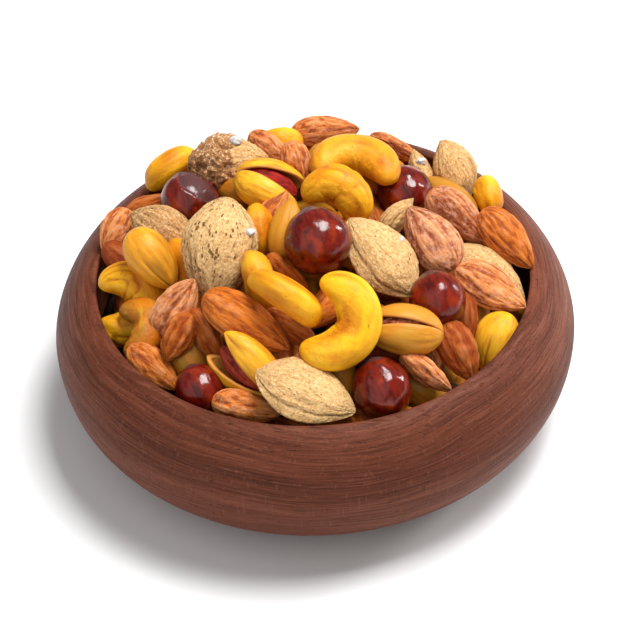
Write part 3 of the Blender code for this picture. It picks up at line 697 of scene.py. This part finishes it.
def ring_faces(rows, segments):
    """Triangles of closed rings of points, and of the two poles that follow them and close them."""
    first = np.arange(segments)
    following = (first + 1) % segments
    last = (rows - 1) * segments
    pole = np.full(segments, rows * segments)
    return np.vstack([
        grid_faces(rows, segments, True),
        np.column_stack([pole, first, following]),
        np.column_stack([pole + 1, last + following, last + first]),
    ])


def unit_ball(segments, rings):
    """Points of a unit sphere with its poles on X, and its triangles."""
    tilt = np.linspace(0.0, math.pi, rings + 1)[1:-1, None]
    around = np.arange(segments) * 2.0 * math.pi / segments
    middle = grid_points(np.cos(tilt), np.sin(tilt) * np.cos(around), np.sin(tilt) * np.sin(around))
    points = np.vstack([middle, [(1.0, 0.0, 0.0), (-1.0, 0.0, 0.0)]])
    return points, ring_faces(rings - 1, segments)


def half_shell(nut, side, segments, rings, relief_of):
    """One shell of an open pistachio, with an outer wall, an inner wall and a rim.

    Returns its points, triangles, unit points and relief, and where its rim and inside are.
    """
    tilt = np.linspace(SHELL_EDGE, math.pi - SHELL_EDGE, rings)[:, None]
    around = np.linspace(-math.pi / 2, math.pi / 2, segments)
    ring = side * np.sin(tilt)
    ball = grid_points(np.cos(tilt), ring * np.cos(around), ring * np.sin(around))
    relief = relief_of(ball)
    outer = shape_points(nut, ball, relief)
    inner = shape_points(nut, ball, 0.0) * (1.0 - SHELL_WALL / (nut.width / 2))
    walls = grid_faces(rings, segments, False)
    count = len(ball)
    edge = np.arange(rings) * segments
    start, end = edge[:-1], edge[1:]
    strips = []
    for first, second in ((start, end), (end + segments - 1, start + segments - 1)):
        strips.append(np.column_stack([first, first + count, second]))
        strips.append(np.column_stack([second, first + count, second + count]))
    tops = np.arange(segments - 1)
    low = tops + (rings - 1) * segments
    strips.append(np.column_stack([tops, tops + 1, tops + count]))
    strips.append(np.column_stack([tops + 1, tops + 1 + count, tops + count]))
    strips.append(np.column_stack([low + 1, low, low + count]))
    strips.append(np.column_stack([low + 1, low + count, low + 1 + count]))
    faces = np.vstack([walls, (walls + count)[:, ::-1]] + strips)
    rim = np.abs(np.tile(around, rings)) > math.pi / 2 - SHELL_EDGE
    mark = np.concatenate([rim.astype(float), np.full(count, INSIDE_MARK)])
    relief = np.concatenate([relief, np.zeros(count)])
    hinge = np.array([-nut.length / 2, 0.0, 0.0])
    swing = np.array(Matrix.Rotation(side * math.radians(nut.angle) / 2, 3, "Z"))
    points = (np.vstack([outer, inner]) - hinge) @ swing.T + hinge
    return points, faces, np.vstack([ball, ball]), relief, mark


def around_nut(ball):
    """How far along a nut each point lies, its direction around it, and how far out it is."""
    x, y, z = ball.T
    ring = np.hypot(y, z)
    return (x, y / ring.clip(1e-6), z / ring.clip(1e-6)), ring


def around_bend(ball):
    """How far along a cashew each point lies and its direction around it, and its angle around."""
    x, y, z = ball.T
    around = np.arctan2(z, y)
    return (x, np.cos(around), np.sin(around)), around


def surface_noise(parts, kind, seed, layers=1):
    """Noise over a nut's surface, of a kind that gives its fineness, number and depth."""
    along, around, number, depth = kind
    points = np.column_stack([parts[0] * along, parts[1] * around, parts[2] * around])
    return depth * layered_noise(points + seed, number, layers)


def kernel_relief(ball, wear, seed):
    """Lengthwise wrinkles of a nut's skin, in millimetres."""
    parts, ring = around_nut(ball)
    veins = (1.0 - np.abs(surface_noise(parts, KERNEL_VEINS, seed))) ** 4
    relief = KERNEL_GROOVE * (KERNEL_GROOVE_RISE - veins)
    relief += surface_noise(parts, KERNEL_BROAD, seed) + surface_noise(parts, KERNEL_FINE, seed)
    relief += surface_noise(ball.T, KERNEL_CROSS, seed)
    return wear * relief * step_between(0.0, 0.5, ring)


def almond_pits(ball, seed, size):
    """How deep each point lies in one of an almond's pits, from 0 to 1."""
    draw = np.random.default_rng(int(seed * 10))
    pits = draw.normal(size=(PITS, 3)) * PIT_SPREAD
    pits = pits / np.linalg.norm(pits, axis=1)[:, None]
    holes = np.zeros(len(ball))
    for pit, width in zip(pits, draw.uniform(*PIT_WIDTHS, PITS) ** 1.5):
        away = (ball - pit) * (size / 4, size / 3, size / 3)
        near = np.exp(-((away**2).sum(axis=1)) / (0.5 * width) ** 2)
        holes = np.maximum(holes, near * (0.4 + 0.6 * width))
    return holes


def almond_relief(ball, wear, seed, keel_side, size):
    """Ridges, pits and the keel of an almond's shell, in millimetres, and where its pits are."""
    parts, ring = around_nut(ball)
    grit = GRIT_DEPTH * noise(ball * (size, size / 2, size / 2) * GRIT_SCALE + seed, 6)
    around = np.arctan2(parts[2], parts[1] * keel_side)
    wander = GROOVE_WANDER * noise(ball * 3.0 + seed, 16)
    keel = KEEL_HEIGHT * np.exp(-((around / KEEL_WIDTH) ** 2))
    for place, depth in GROOVES:
        keel -= depth * np.exp(-(((np.abs(around) - place + wander) / GROOVE_WIDTH) ** 2))
    holes = almond_pits(ball, seed, size) * wear
    relief = surface_noise(parts, ALMOND_BROAD, seed, 2) + grit + keel - PIT_DEPTH * holes
    relief += wear * surface_noise(parts, ALMOND_FIBRES, seed)
    return relief * step_between(0.0, 0.4, ring), holes


def almond_ends(ball):
    """How far an almond's shell draws in towards its two ends, in millimetres."""
    x, y, z = ball.T
    narrower = BLUNT_END * step_between(0.25, 0.9, -x) + POINTED_END * step_between(0.4, 0.9, x)
    return narrower * step_between(0.0, 0.4, np.hypot(y, z))


def husk_relief(ball, seed):
    """The ragged remains of a husk over one end of an almond, in millimetres, and its cover."""
    edge = HUSK_EDGE + 0.2 * layered_noise(ball * 2.5 + seed, 19, 2)
    cover = step_between(edge + 0.1, edge - 0.1, ball[:, 0])
    flakes = 1.0 - np.abs(noise(ball * (6.0, 5.0, 5.0) + seed, 20)) * 2.4
    crumbs = layered_noise(ball * (15.0, 10.0, 10.0) + seed, 21, 2)
    relief = cover * (HUSK_DEPTH + FLAKE_DEPTH * flakes + CRUMB_DEPTH * crumbs)
    return relief * step_between(0.0, 0.3, np.hypot(ball[:, 1], ball[:, 2])), cover


def cashew_relief(ball, wear, seed):
    """The soft lumps and the few creases and folds of a cashew, in millimetres."""
    parts, around = around_bend(ball)
    x = parts[0]
    pinch = np.exp(-((x / 0.25) ** 2)) * np.exp(-(((np.abs(around) - math.pi) / 0.9) ** 2))
    folds = (1.0 - np.abs(surface_noise(parts, CASHEW_FOLDS, seed))) ** 6
    relief = surface_noise(parts, CASHEW_LUMPS, seed) + surface_noise(parts, CASHEW_VEINS, seed)
    relief -= CASHEW_FOLD_DEPTH * max(wear - FOLDED_WEAR, 0.0) * folds
    relief += wear * pinch * surface_noise(parts, CASHEW_WRINKLES, seed)
    return relief * step_between(1.0, 0.75, np.abs(x))


def pistachio_relief(ball, wear, seed, closed):
    """Faint lengthwise lines of a pistachio's shell, and the seam of one that is closed."""
    parts, ring = around_nut(ball)
    relief = surface_noise(parts, PISTACHIO_BROAD, seed)
    relief += wear * surface_noise(parts, PISTACHIO_LINES, seed)
    if closed:
        seam = np.exp(-((parts[1] / SEAM_WIDTH) ** 2))
        relief -= SEAM_DEPTH * seam * step_between(-0.4, 0.3, parts[0])
    return relief * step_between(0.0, 0.5, ring)


def hazelnut_relief(ball, wear, seed, crack):
    """A hazelnut's dents, cap and broken shell, in millimetres, and where it is matte."""
    relief = HAZELNUT_DENTS * wear * layered_noise(ball * 1.6 + seed, 12, 2)
    relief += wear * surface_noise(ball.T, HAZELNUT_RIPPLES, seed)
    cap = step_between(*CAP_EDGE, ball[:, 0] + 0.03 * noise(ball * 4.0 + seed, 14))
    relief -= CAP_DEPTH * cap
    if crack is not None:
        height = ball @ crack + 0.12 * noise(ball * 3.2 + seed, 17)
        broken = step_between(*BREAK_EDGE, height)
        relief += BREAK_LIP * step_between(0.5, BREAK_EDGE[0], height) - BREAK_DEPTH * broken
        cap = np.maximum(cap, broken)
    return relief, cap


class Piece:
    """One kind's meshes, gathered into a single object with its looks in two attributes."""

    def __init__(self, name):
        self.name = name
        self.points, self.faces, self.grain, self.look = [], [], [], []
        self.count = 0

    def add(self, points, faces, grain, tint, relief, mark):
        """Adds one nut: its points, its own coordinates, and its tint, relief and mark from 0 to 1. The
        materials paint shade and highlight from its relief, and shade into an almond's pits from its
        mark.
        """
        self.points.append(points)
        self.faces.append(faces + self.count)
        self.grain.append(grain)
        look = np.column_stack(np.broadcast_arrays(tint, relief, mark, np.ones(len(points))))
        self.look.append(look)
        self.count += len(points)

    def finish(self, material, slot, *nodes):
        """Makes the object, which rides the part's body and replaces the named solids."""
        mesh = bpy.data.meshes.new(self.name)
        mesh.from_pydata((np.vstack(self.points) * MM).tolist(), [], np.vstack(self.faces).tolist())
        mesh.shade_smooth()
        grain = mesh.attributes.new("grain", "FLOAT_VECTOR", "POINT")
        grain.data.foreach_set("vector", np.vstack(self.grain).astype(np.float32).ravel())
        look = mesh.attributes.new("look", "FLOAT_COLOR", "POINT")
        look.data.foreach_set("color", np.vstack(self.look).clip(0.0, 1.0).astype(np.float32).ravel())
        mesh.materials.append(material)
        return add_piece(mesh, slot, *nodes)


def add_piece(mesh, slot, *nodes):
    """Puts a mesh into the scene as one piece of the part."""
    piece = bpy.data.objects.new(mesh.name, mesh)
    bpy.context.scene.collection.objects.link(piece)
    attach(piece, "root")
    if nodes:
        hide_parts(*nodes)
    return piece


def nut_grain(nut, ball, seed):
    """A nut's own coordinates in millimetres, away from those of the other nuts."""
    return ball * (nut.length / 2, nut.width / 2, nut.width / 2) + seed * GRAIN_STEP


def add_nut(pieces, nut, place, turn, tint, wear, sides, seed, keel_side, crack):
    """Builds one nut in its own axes and adds it to its kind's piece."""
    if nut.kind == PISTACHIO and nut.angle > 0.0:
        add_open_pistachio(pieces, nut, place, turn, tint, wear, sides, seed)
        return
    ball, faces = unit_ball(*sides)
    # shade is the relief as the materials read it, for painted shade in hollows and a painted highlight
    # on crests
    mark, shade = np.zeros(len(ball)), None
    if nut.kind == KERNEL:
        relief = kernel_relief(ball, wear, seed)
        shade = 0.5 + relief / (0.8 * wear)
    elif nut.kind == ALMOND:
        relief, mark = almond_relief(ball, wear, seed, keel_side, nut.length)
        shade = 0.5 + relief
        if tint > HUSK_TINT:
            husk, cover = husk_relief(ball, seed)
            relief = relief * (1.0 - cover) + husk
            shade = 0.5 + relief * (1.0 - cover) + 0.8 * (husk - HUSK_DEPTH) * cover
            mark = mark * (1.0 - cover)
            tint = BARE_TINT + (tint - BARE_TINT) * cover
        relief = relief - almond_ends(ball)
    elif nut.kind == CASHEW:
        relief = cashew_relief(ball, wear, seed)
    elif nut.kind == PISTACHIO:
        relief = pistachio_relief(ball, wear, seed, True)
    else:
        relief, mark = hazelnut_relief(ball, wear, seed, crack)
    shade = 0.5 + relief if shade is None else shade
    points = shape_points(nut, ball, relief) @ turn.T + place
    pieces[nut.kind].add(points, faces, nut_grain(nut, ball, seed), tint, shade, mark)


def add_open_pistachio(pieces, nut, place, turn, tint, wear, sides, seed):
    """Adds the two shells of an open pistachio and the kernel between them."""
    ball, faces = unit_ball(*sides)
    relief = kernel_relief(ball, KERNEL_WEAR, seed)
    points = shape_points(nut, ball, relief) * KERNEL_IN_SHELL @ turn.T + place
    grain = nut_grain(nut, ball, seed)
    pieces[PISTACHIO_KERNEL].add(points, faces, grain, tint, 0.5 + relief, 0.0)
    for side in (1, -1):
        points, faces, ball, relief, mark = half_shell(
            nut, side, sides[0] // 2, sides[1], lambda ball: pistachio_relief(ball, wear, seed, False)
        )
        grain = nut_grain(nut, ball, seed)
        pieces[PISTACHIO].add(points @ turn.T + place, faces, grain, tint, 0.5 + relief, mark)


def node(tree, kind, inputs=None, **settings):
    """Adds a shader node; an input that is a socket is linked, and any other is a value."""
    made = tree.nodes.new(kind)
    for key, value in settings.items():
        setattr(made, key, value)
    for key, value in (inputs or {}).items():
        if isinstance(value, bpy.types.NodeSocket):
            tree.links.new(value, made.inputs[key])
        else:
            made.inputs[key].default_value = value
    return made


def noise_node(tree, vector, scale, detail=2.0, roughness=0.5):
    """Noise with so many bumps for each unit of the vector."""
    inputs = {"Vector": vector, "Scale": scale, "Detail": detail, "Roughness": roughness}
    return node(tree, "ShaderNodeTexNoise", inputs).outputs["Fac"]


def ramp(tree, factor, *stops):
    """A colour ramp through stops of (position, colour)."""
    made = node(tree, "ShaderNodeValToRGB", {"Fac": factor})
    elements = made.color_ramp.elements
    while len(elements) < len(stops):
        elements.new(0.5)
    for element, (position, colour) in zip(elements, stops):
        element.position = position
        element.color = (*colour, 1.0)
    return made.outputs["Color"]


def span(tree, value, low, high, to_low, to_high):
    """Maps a range of values to another, held at its ends."""
    inputs = {"Value": value, "From Min": low, "From Max": high, "To Min": to_low, "To Max": to_high}
    return node(tree, "ShaderNodeMapRange", inputs).outputs["Result"]


def mix(tree, factor, tone, colour):
    """Mixes a colour into a tone by a factor."""
    made = node(tree, "ShaderNodeMix", {0: factor, 6: tone, 7: (*colour, 1.0)}, data_type="RGBA")
    return made.outputs[2]


def tinted(tree, tone, value, low, high, amount, colour):
    """Mixes a colour into a tone by an amount that grows as the value goes from low to high."""
    return mix(tree, span(tree, value, low, high, 0.0, amount), tone, colour)


def maths(tree, operation, first, second):
    """Adds, subtracts or multiplies two values."""
    return node(tree, "ShaderNodeMath", {0: first, 1: second}, operation=operation).outputs[0]


def stretched(tree, vector, scale):
    """A vector with its three parts scaled, so that noise over it runs in streaks."""
    return node(tree, "ShaderNodeMapping", {"Vector": vector, "Scale": scale}).outputs["Vector"]


def new_material(name, **values):
    """A material with the shader's plain values set; returns it with its tree and shader."""
    material = bpy.data.materials.new(name)
    material.use_nodes = True
    tree = material.node_tree
    shader = tree.nodes["Principled BSDF"]
    for key, value in values.items():
        shader.inputs[key.replace("_", " ")].default_value = value
    return material, tree, shader


def nut_attributes(tree):
    """The nut's own coordinates in millimetres, and its tint, relief and mark; the relief lays painted
    shade and highlight.
    """
    grain = node(tree, "ShaderNodeAttribute", attribute_name="grain").outputs["Vector"]
    look = node(tree, "ShaderNodeAttribute", attribute_name="look").outputs["Color"]
    parts = node(tree, "ShaderNodeSeparateColor", {"Color": look}).outputs
    return grain, parts["Red"], parts["Green"], parts["Blue"]


def dress(tree, shader, colour, rough, height, depth, *more):
    """Links a shader's colour and roughness, and bumps it by a height that is depth mm deep.

    The bump goes to the shader's normal and to any other normals that are named.
    """
    tree.links.new(colour, shader.inputs["Base Color"])
    if rough is not None:
        tree.links.new(rough, shader.inputs["Roughness"])
    bump = node(tree, "ShaderNodeBump", {"Height": height, "Distance": depth * MM, "Strength": 1.0})
    for socket in ("Normal", *more):
        tree.links.new(bump.outputs["Normal"], shader.inputs[socket])


def cashew_material():
    """A cashew's saffron coat: clouded and speckled, with painted shade in its creases and a painted
    highlight on its crests.
    """
    material, tree, shader = new_material("cashew", Specular_IOR_Level=0.2)
    grain, tint, relief, _ = nut_attributes(tree)
    cloud = noise_node(tree, grain, 0.13, 4.0, 0.6)
    tone = tinted(tree, ramp(tree, tint, *CASHEW_TINTS_AND_SHADE), cloud, 0.46, 0.66, 0.8, CASHEW_CLOUD)
    # Painted shade where the relief is low, and a painted highlight where it is high
    tone = tinted(tree, tone, relief, 0.48, 0.1, 0.8, CASHEW_CREASE_SHADE)
    tone = tinted(tree, tone, relief, 0.6, 0.9, 0.4, CASHEW_CREST_HIGHLIGHT)
    tone = tinted(tree, tone, noise_node(tree, grain, 1.7), 0.68, 0.74, 0.7, CASHEW_SPECK)
    rough = span(tree, noise_node(tree, grain, 0.5, 3.0), 0.3, 0.7, 0.3, 0.52)
    dress(tree, shader, tone, rough, noise_node(tree, grain, 0.6, 5.0, 0.62), 0.45)
    return material


def pistachio_material():
    """A pistachio's shell: streaked lengthwise, clouded, and paler at its rim and inside, with painted
    shade in its seam and its low places.
    """
    material, tree, shader = new_material("pistachio_shell", Specular_IOR_Level=0.22)
    grain, tint, relief, mark = nut_attributes(tree)
    streak = noise_node(tree, stretched(tree, grain, (0.06, 0.3, 0.3)), 1.6, 4.0, 0.6)
    tone = tinted(tree, ramp(tree, tint, *PISTACHIO_TINTS_AND_SHADE), streak, 0.42, 0.68, 0.8, PISTACHIO_STREAK)
    tone = tinted(tree, tone, noise_node(tree, grain, 0.09), 0.52, 0.75, 0.4, PISTACHIO_CLOUD)
    # Painted shade where the relief is low: the seam and other hollows
    tone = tinted(tree, tone, relief, 0.45, 0.15, 0.8, PISTACHIO_SEAM_SHADE)
    tone = tinted(tree, tone, mark, 0.1, 0.9, 0.8, PISTACHIO_INSIDE)
    rough = span(tree, noise_node(tree, grain, 0.4, 3.0), 0.3, 0.7, 0.3, 0.5)
    dress(tree, shader, tone, rough, streak, 0.4)
    return material


def skin_material(name, tints, pale, dark, roughness):
    """A nut's skin: streaked lengthwise and mottled, with painted shade in its wrinkles, a painted
    highlight on its ridges, and salt dust.
    """
    material, tree, shader = new_material(name, Specular_IOR_Level=0.15)
    grain, tint, relief, _ = nut_attributes(tree)
    streak = noise_node(tree, stretched(tree, grain, (0.12, 0.9, 0.9)), 1.2, 5.0, 0.65)
    tone = tinted(tree, ramp(tree, tint, *tints), streak, 0.44, 0.62, 0.65, dark)
    mottle = span(tree, noise_node(tree, grain, 0.7, 5.0, 0.7), 0.5, 0.64, 0.0, 0.7)
    tone = mix(tree, maths(tree, "MULTIPLY", mottle, tint), tone, pale)
    # A painted highlight on the ridges and painted shade in the wrinkles, both from the relief
    ridges = span(tree, relief, 0.5, 0.8, 0.0, 1.0)
    crest = maths(tree, "MULTIPLY", ridges, span(tree, tint, 0.0, 0.6, 0.15, 0.6))
    tone = tinted(tree, mix(tree, crest, tone, pale), relief, 0.48, 0.15, 0.85, dark)
    dust = span(tree, noise_node(tree, grain, 0.6, 5.0, 0.75), 0.5, 0.64, 0.0, 0.6)
    tone = mix(tree, maths(tree, "MULTIPLY", dust, tint), tone, SALT_DUST)
    rough = span(tree, noise_node(tree, grain, 0.6, 3.0), 0.3, 0.7, roughness - 0.08, roughness + 0.1)
    fine = noise_node(tree, stretched(tree, grain, (0.5, 1.3, 1.3)), 0.9, 5.0, 0.7)
    dress(tree, shader, tone, rough, fine, 0.8)
    return material


def almond_material():
    """An almond's shell: fibrous, gritty and pitted, with painted shade in its pits and grooves and pale
    crumbs where it has its husk.
    """
    material, tree, shader = new_material("almond_shell", Specular_IOR_Level=0.25)
    grain, tint, relief, mark = nut_attributes(tree)
    fibres = noise_node(tree, stretched(tree, grain, (0.16, 0.8, 0.8)), 1.5, 5.0, 0.65)
    grit = noise_node(tree, grain, 1.3, 5.0, 0.7)
    tone = tinted(tree, ramp(tree, tint, *ALMOND_TINTS), fibres, 0.47, 0.66, 0.6, ALMOND_FIBRE)
    tone = tinted(tree, tone, grit, 0.5, 0.62, 0.7, ALMOND_PALE_GRIT)
    tone = tinted(tree, tone, grit, 0.48, 0.38, 0.6, ALMOND_DARK_GRIT)
    inputs = {"Vector": stretched(tree, grain, (0.45, 0.9, 0.9)), "Scale": 1.1}
    away = node(tree, "ShaderNodeTexVoronoi", inputs).outputs["Distance"]
    patchy = span(tree, noise_node(tree, grain, 0.2, 4.0, 0.6), 0.44, 0.62, 0.06, 0.38)
    reach = maths(tree, "MULTIPLY", patchy, span(tree, tint, 0.0, 0.1, 1.2, 0.6))
    small = span(tree, maths(tree, "SUBTRACT", reach, away), 0.0, 0.08, 0.0, 0.85)
    # Painted shade in the small pits
    tone = mix(tree, small, tone, ALMOND_SMALL_PIT_SHADE)
    # Painted shade where the relief is low: grooves, pits and the husk's crevices
    tone = tinted(tree, tone, relief, 0.4, 0.0, 0.6, ALMOND_GROOVE_SHADE)
    crumbs = span(tree, grit, 0.56, 0.62, 0.0, 0.8)
    husk = maths(tree, "MULTIPLY", crumbs, span(tree, tint, 0.5, 0.9, 0.0, 1.0))
    tone = mix(tree, husk, tone, HUSK_CRUMB)
    # Painted shade in the deep pits
    tone = tinted(tree, tone, mark, 0.25, 0.8, 0.92, ALMOND_PIT_SHADE)
    height = maths(tree, "SUBTRACT", maths(tree, "ADD", fibres, grit), small)
    dress(tree, shader, tone, span(tree, grit, 0.3, 0.7, 0.6, 0.85), height, 0.7)
    return material


def hazelnut_material():
    """A hazelnut's polished shell: streaked from its tip, with a matte cap."""
    material, tree, shader = new_material(
        "hazelnut_shell", Coat_Weight=0.6, Coat_Roughness=0.05, Specular_IOR_Level=0.1
    )
    grain, tint, _, mark = nut_attributes(tree)
    streak = noise_node(tree, stretched(tree, grain, (0.07, 0.45, 0.45)), 1.6, 4.0, 0.6)
    tone = tinted(tree, ramp(tree, tint, *HAZELNUT_TINTS), streak, 0.42, 0.64, 0.8, HAZELNUT_STREAK)
    tone = tinted(tree, tone, noise_node(tree, grain, 0.16, 3.0), 0.52, 0.7, 0.6, HAZELNUT_CLOUD)
    tone = mix(tree, mark, tone, HAZELNUT_CAP)
    polish = span(tree, noise_node(tree, grain, 0.5, 4.0, 0.6), 0.35, 0.7, 0.16, 0.4)
    rough = maths(tree, "ADD", polish, span(tree, mark, 0.0, 1.0, 0.0, 0.15))
    dents = noise_node(tree, stretched(tree, grain, (0.6, 1.0, 1.0)), 0.45, 5.0, 0.62)
    dress(tree, shader, tone, rough, dents, 0.14, "Coat Normal")
    return material


def wood_material():
    """Dark wood with level growth lines that sway a little, short pores and pale rays."""
    material, tree, shader = new_material("dark_wood", Specular_IOR_Level=0.1)
    place = node(tree, "ShaderNodeTexCoord").outputs["Object"]
    place = node(tree, "ShaderNodeVectorMath", {0: place, 3: 1.0 / MM}, operation="SCALE").outputs[0]
    sway = noise_node(tree, stretched(tree, place, (0.01, 0.014, 0.02)), 1.0)
    parts = node(tree, "ShaderNodeSeparateXYZ", {"Vector": place}).outputs
    layer = maths(tree, "ADD", parts["Z"], maths(tree, "MULTIPLY", sway, WOOD_SWAY))
    inputs = {"X": parts["X"], "Y": parts["Y"], "Z": layer}
    layered = node(tree, "ShaderNodeCombineXYZ", inputs).outputs["Vector"]
    lines = noise_node(tree, stretched(tree, layered, (0.05, 0.065, 2.3)), 1.0, 5.0, 0.74)
    bands = noise_node(tree, stretched(tree, layered, (0.008, 0.012, 0.2)), 1.0, 4.0)
    pores = noise_node(tree, stretched(tree, layered, (0.12, 1.6, 1.9)), 1.0, 3.0, 0.6)
    rays = noise_node(tree, stretched(tree, place, (1.3, 1.3, 0.12)), 1.0)
    tone = tinted(tree, ramp(tree, bands, *WOOD_BANDS), lines, 0.5, 0.62, 0.62, WOOD_DARK_LINE)
    tone = tinted(tree, tone, lines, 0.46, 0.36, 0.45, WOOD_PALE_LINE)
    dark = span(tree, pores, 0.59, 0.7, 0.0, 0.55)
    tone = mix(tree, dark, tone, WOOD_PORE)
    tone = tinted(tree, tone, rays, 0.60, 0.72, 0.22, WOOD_RAY)
    rough = span(tree, lines, 0.35, 0.65, 0.42, 0.6)
    dress(tree, shader, tone, rough, maths(tree, "SUBTRACT", lines, dark), 0.2)
    return material


def shaded_core_material():
    """Near-black colour between the lowest nuts: painted shade, broken by fine noise."""
    material, tree, shader = new_material("heap_core", Roughness=0.9)
    place = node(tree, "ShaderNodeTexCoord").outputs["Object"]
    crumbs = noise_node(tree, place, 260.0, 3.0)
    dress(tree, shader, ramp(tree, crumbs, *CORE_SHADE_TONES), None, crumbs, 1.5)
    return material


def salt_material():
    """White grains of salt stuck together."""
    material, tree, shader = new_material("salt", Subsurface_Weight=0.2, Subsurface_Scale=0.001)
    place = node(tree, "ShaderNodeTexCoord").outputs["Object"]
    crumbs = noise_node(tree, place, 900.0, 3.0)
    rough = span(tree, crumbs, 0.3, 0.7, 0.35, 0.6)
    dress(tree, shader, ramp(tree, crumbs, *SALT_TONES), rough, crumbs, 0.2)
    return material


def turned_mesh(name, profile, segments):
    """The mesh that a profile of (r, z) points sweeps out about Z; its two ends lie on Z."""
    turns = np.arange(segments) * 2.0 * math.pi / segments
    reach, height = profile[1:-1, :1], profile[1:-1, 1:]
    points = grid_points(reach * np.cos(turns), reach * np.sin(turns), height)
    points = np.vstack([points, [(0.0, 0.0, profile[0, 1]), (0.0, 0.0, profile[-1, 1])]])
    mesh = bpy.data.meshes.new(name)
    mesh.from_pydata((points * MM).tolist(), [], ring_faces(len(reach), segments).tolist())
    mesh.shade_smooth()
    return mesh


def add_bowl():
    """The turned bowl."""
    mesh = turned_mesh("turned_bowl", bowl_profile(), BOWL_SEGMENTS)
    mesh.set_sharp_from_angle(angle=SHARP_ANGLE)
    mesh.materials.append(wood_material())
    add_piece(mesh, "bowl_wood", "bowl")


def add_core():
    """The middle of the heap, under the nuts, coloured near black as painted shade."""
    reach = np.linspace(0.0, CORE_RADIUS, CORE_RINGS)
    height = dome_height(reach, 0.0) - CORE_DEPTH
    profile = np.vstack([np.column_stack([reach, height]), CORE_BOTTOM])
    mesh = turned_mesh("heap_core", profile, CORE_SEGMENTS)
    mesh.materials.append(shaded_core_material())
    add_piece(mesh, "nut_heap", "nut_heap")


def add_salt(targets):
    """Lumps of salt that lie where their sight lines meet the nuts."""
    graph = bpy.context.evaluated_depsgraph_get()
    trees = [BVHTree.FromObject(target, graph) for target in targets]
    eye = Vector(eye_point() * MM)
    lumps = Piece("salt_lumps")
    ball, faces = unit_ball(*SALT_SIDES)
    for number, (u, v, radius) in enumerate(SALT):
        line = Vector(sight_line(u, v))
        hits = [tree.ray_cast(eye, line) for tree in trees]
        distances = [hit[3] for hit in hits if hit[3]]
        if not distances:
            continue
        point = np.array(eye + line * min(distances)) / MM
        seed = SALT_SEED_STEP * number + SALT_SEED_START
        swell = 1.0 + SALT_SWELL * layered_noise(ball * 1.7 + seed, 15, 3)
        shape = ball * swell[:, None] * radius * SALT_FLATNESS
        lumps.add(shape + point, faces, ball * radius, 0.0, 0.5, 0.0)
    lumps.finish(salt_material(), "salt", "nut_heap")


def add_nuts():
    """Every nut, gathered into one piece for each kind; returns the pieces."""
    nuts, places, turns, counts = placed_nuts()
    pieces = {kind: Piece(name) for kind, (name, _) in PIECES.items()}
    draw = np.random.default_rng(LOOK_SEED)
    for index, (nut, place, turn) in enumerate(zip(nuts, places, turns)):
        seed = SEED_STEP * index + SEED_START
        tint, wear = draw.uniform(*SPARE_TINTS), draw.uniform(*SPARE_WEAR)
        if nut.kind != KERNEL:
            # Nuts other than kernels keep to the dark end of their ramps: painted shade for nuts low in
            # the heap
            tint = 1.0 - SHADED_TINT_SPREAD * tint
        sides = FILLER_SIDES if index < counts[0] + counts[1] else DEEP_SIDES
        if index < counts[0]:
            tint, wear = LOOKS[index]
            around, along = FINENESS[nut.kind]
            sides = (2 * round(nut.width * around / 2), round(nut.length * along))
        crack = turn.T @ (view_axes().T @ np.array(CRACKS[index])) if index in CRACKS else None
        keel_side = KEEL_SIDES.get(index, USUAL_KEEL_SIDE)
        add_nut(pieces, nut, place, turn, tint, wear, sides, seed, keel_side, crack)
    skin = (ALMOND_SKIN, ALMOND_SKIN_PALE, ALMOND_SKIN_DARK, 0.5)
    red_skin = (PISTACHIO_SKIN, PISTACHIO_SKIN_PALE, PISTACHIO_SKIN_DARK, 0.45)
    materials = {
        KERNEL: skin_material("almond_skin", *skin),
        ALMOND: almond_material(),
        CASHEW: cashew_material(),
        PISTACHIO: pistachio_material(),
        HAZELNUT: hazelnut_material(),
        PISTACHIO_KERNEL: skin_material("pistachio_skin", *red_skin),
    }
    return [pieces[kind].finish(materials[kind], slot, "nut_heap") for kind, (_, slot) in PIECES.items()]


def add_floor(scene):
    """A pale floor to stand on."""
    mesh = bpy.data.meshes.new("floor")
    corners = [(-1, -1), (1, -1), (1, 1), (-1, 1)]
    mesh.from_pydata([(x * FLOOR_REACH, y * FLOOR_REACH, 0.0) for x, y in corners], [], [(0, 1, 2, 3)])
    mesh.materials.append(new_material("pale_floor", Roughness=0.9, Base_Color=FLOOR_COLOUR)[0])
    floor = bpy.data.objects.new("floor", mesh)
    scene.collection.objects.link(floor)


def add_stage():
    """A pale floor, soft studio lights and the photograph's camera."""
    scene = bpy.context.scene
    add_floor(scene)
    world = bpy.data.worlds.new("studio")
    world.use_nodes = True
    background = world.node_tree.nodes["Background"].inputs
    background["Color"].default_value = (1.0, 1.0, 1.0, 1.0)
    background["Strength"].default_value = WORLD_STRENGTH
    scene.world = world
    for name, place, size, power in LIGHTS:
        light = bpy.data.lights.new(name, "AREA")
        light.shape = "RECTANGLE"
        light.size, light.size_y = size
        light.energy = power
        lamp = bpy.data.objects.new(name, light)
        lamp.location = place
        aim = Vector((0.0, 0.0, BOWL_HEIGHT * MM)) - lamp.location
        lamp.rotation_euler = aim.to_track_quat("-Z", "Y").to_euler()
        scene.collection.objects.link(lamp)
    camera = bpy.data.objects.new("camera", bpy.data.cameras.new("camera"))
    camera.data.sensor_width = SENSOR_WIDTH
    camera.data.lens = FOCAL_PIXELS / FRAME_SIZE * SENSOR_WIDTH
    axes = Matrix(view_axes().T.tolist()).to_4x4()
    camera.matrix_world = Matrix.Translation(Vector(eye_point() * MM)) @ axes
    scene.collection.objects.link(camera)
    scene.camera = camera
    scene.view_settings.view_transform = "Standard"


add_bowl()
add_core()
add_salt(add_nuts())
add_stage()
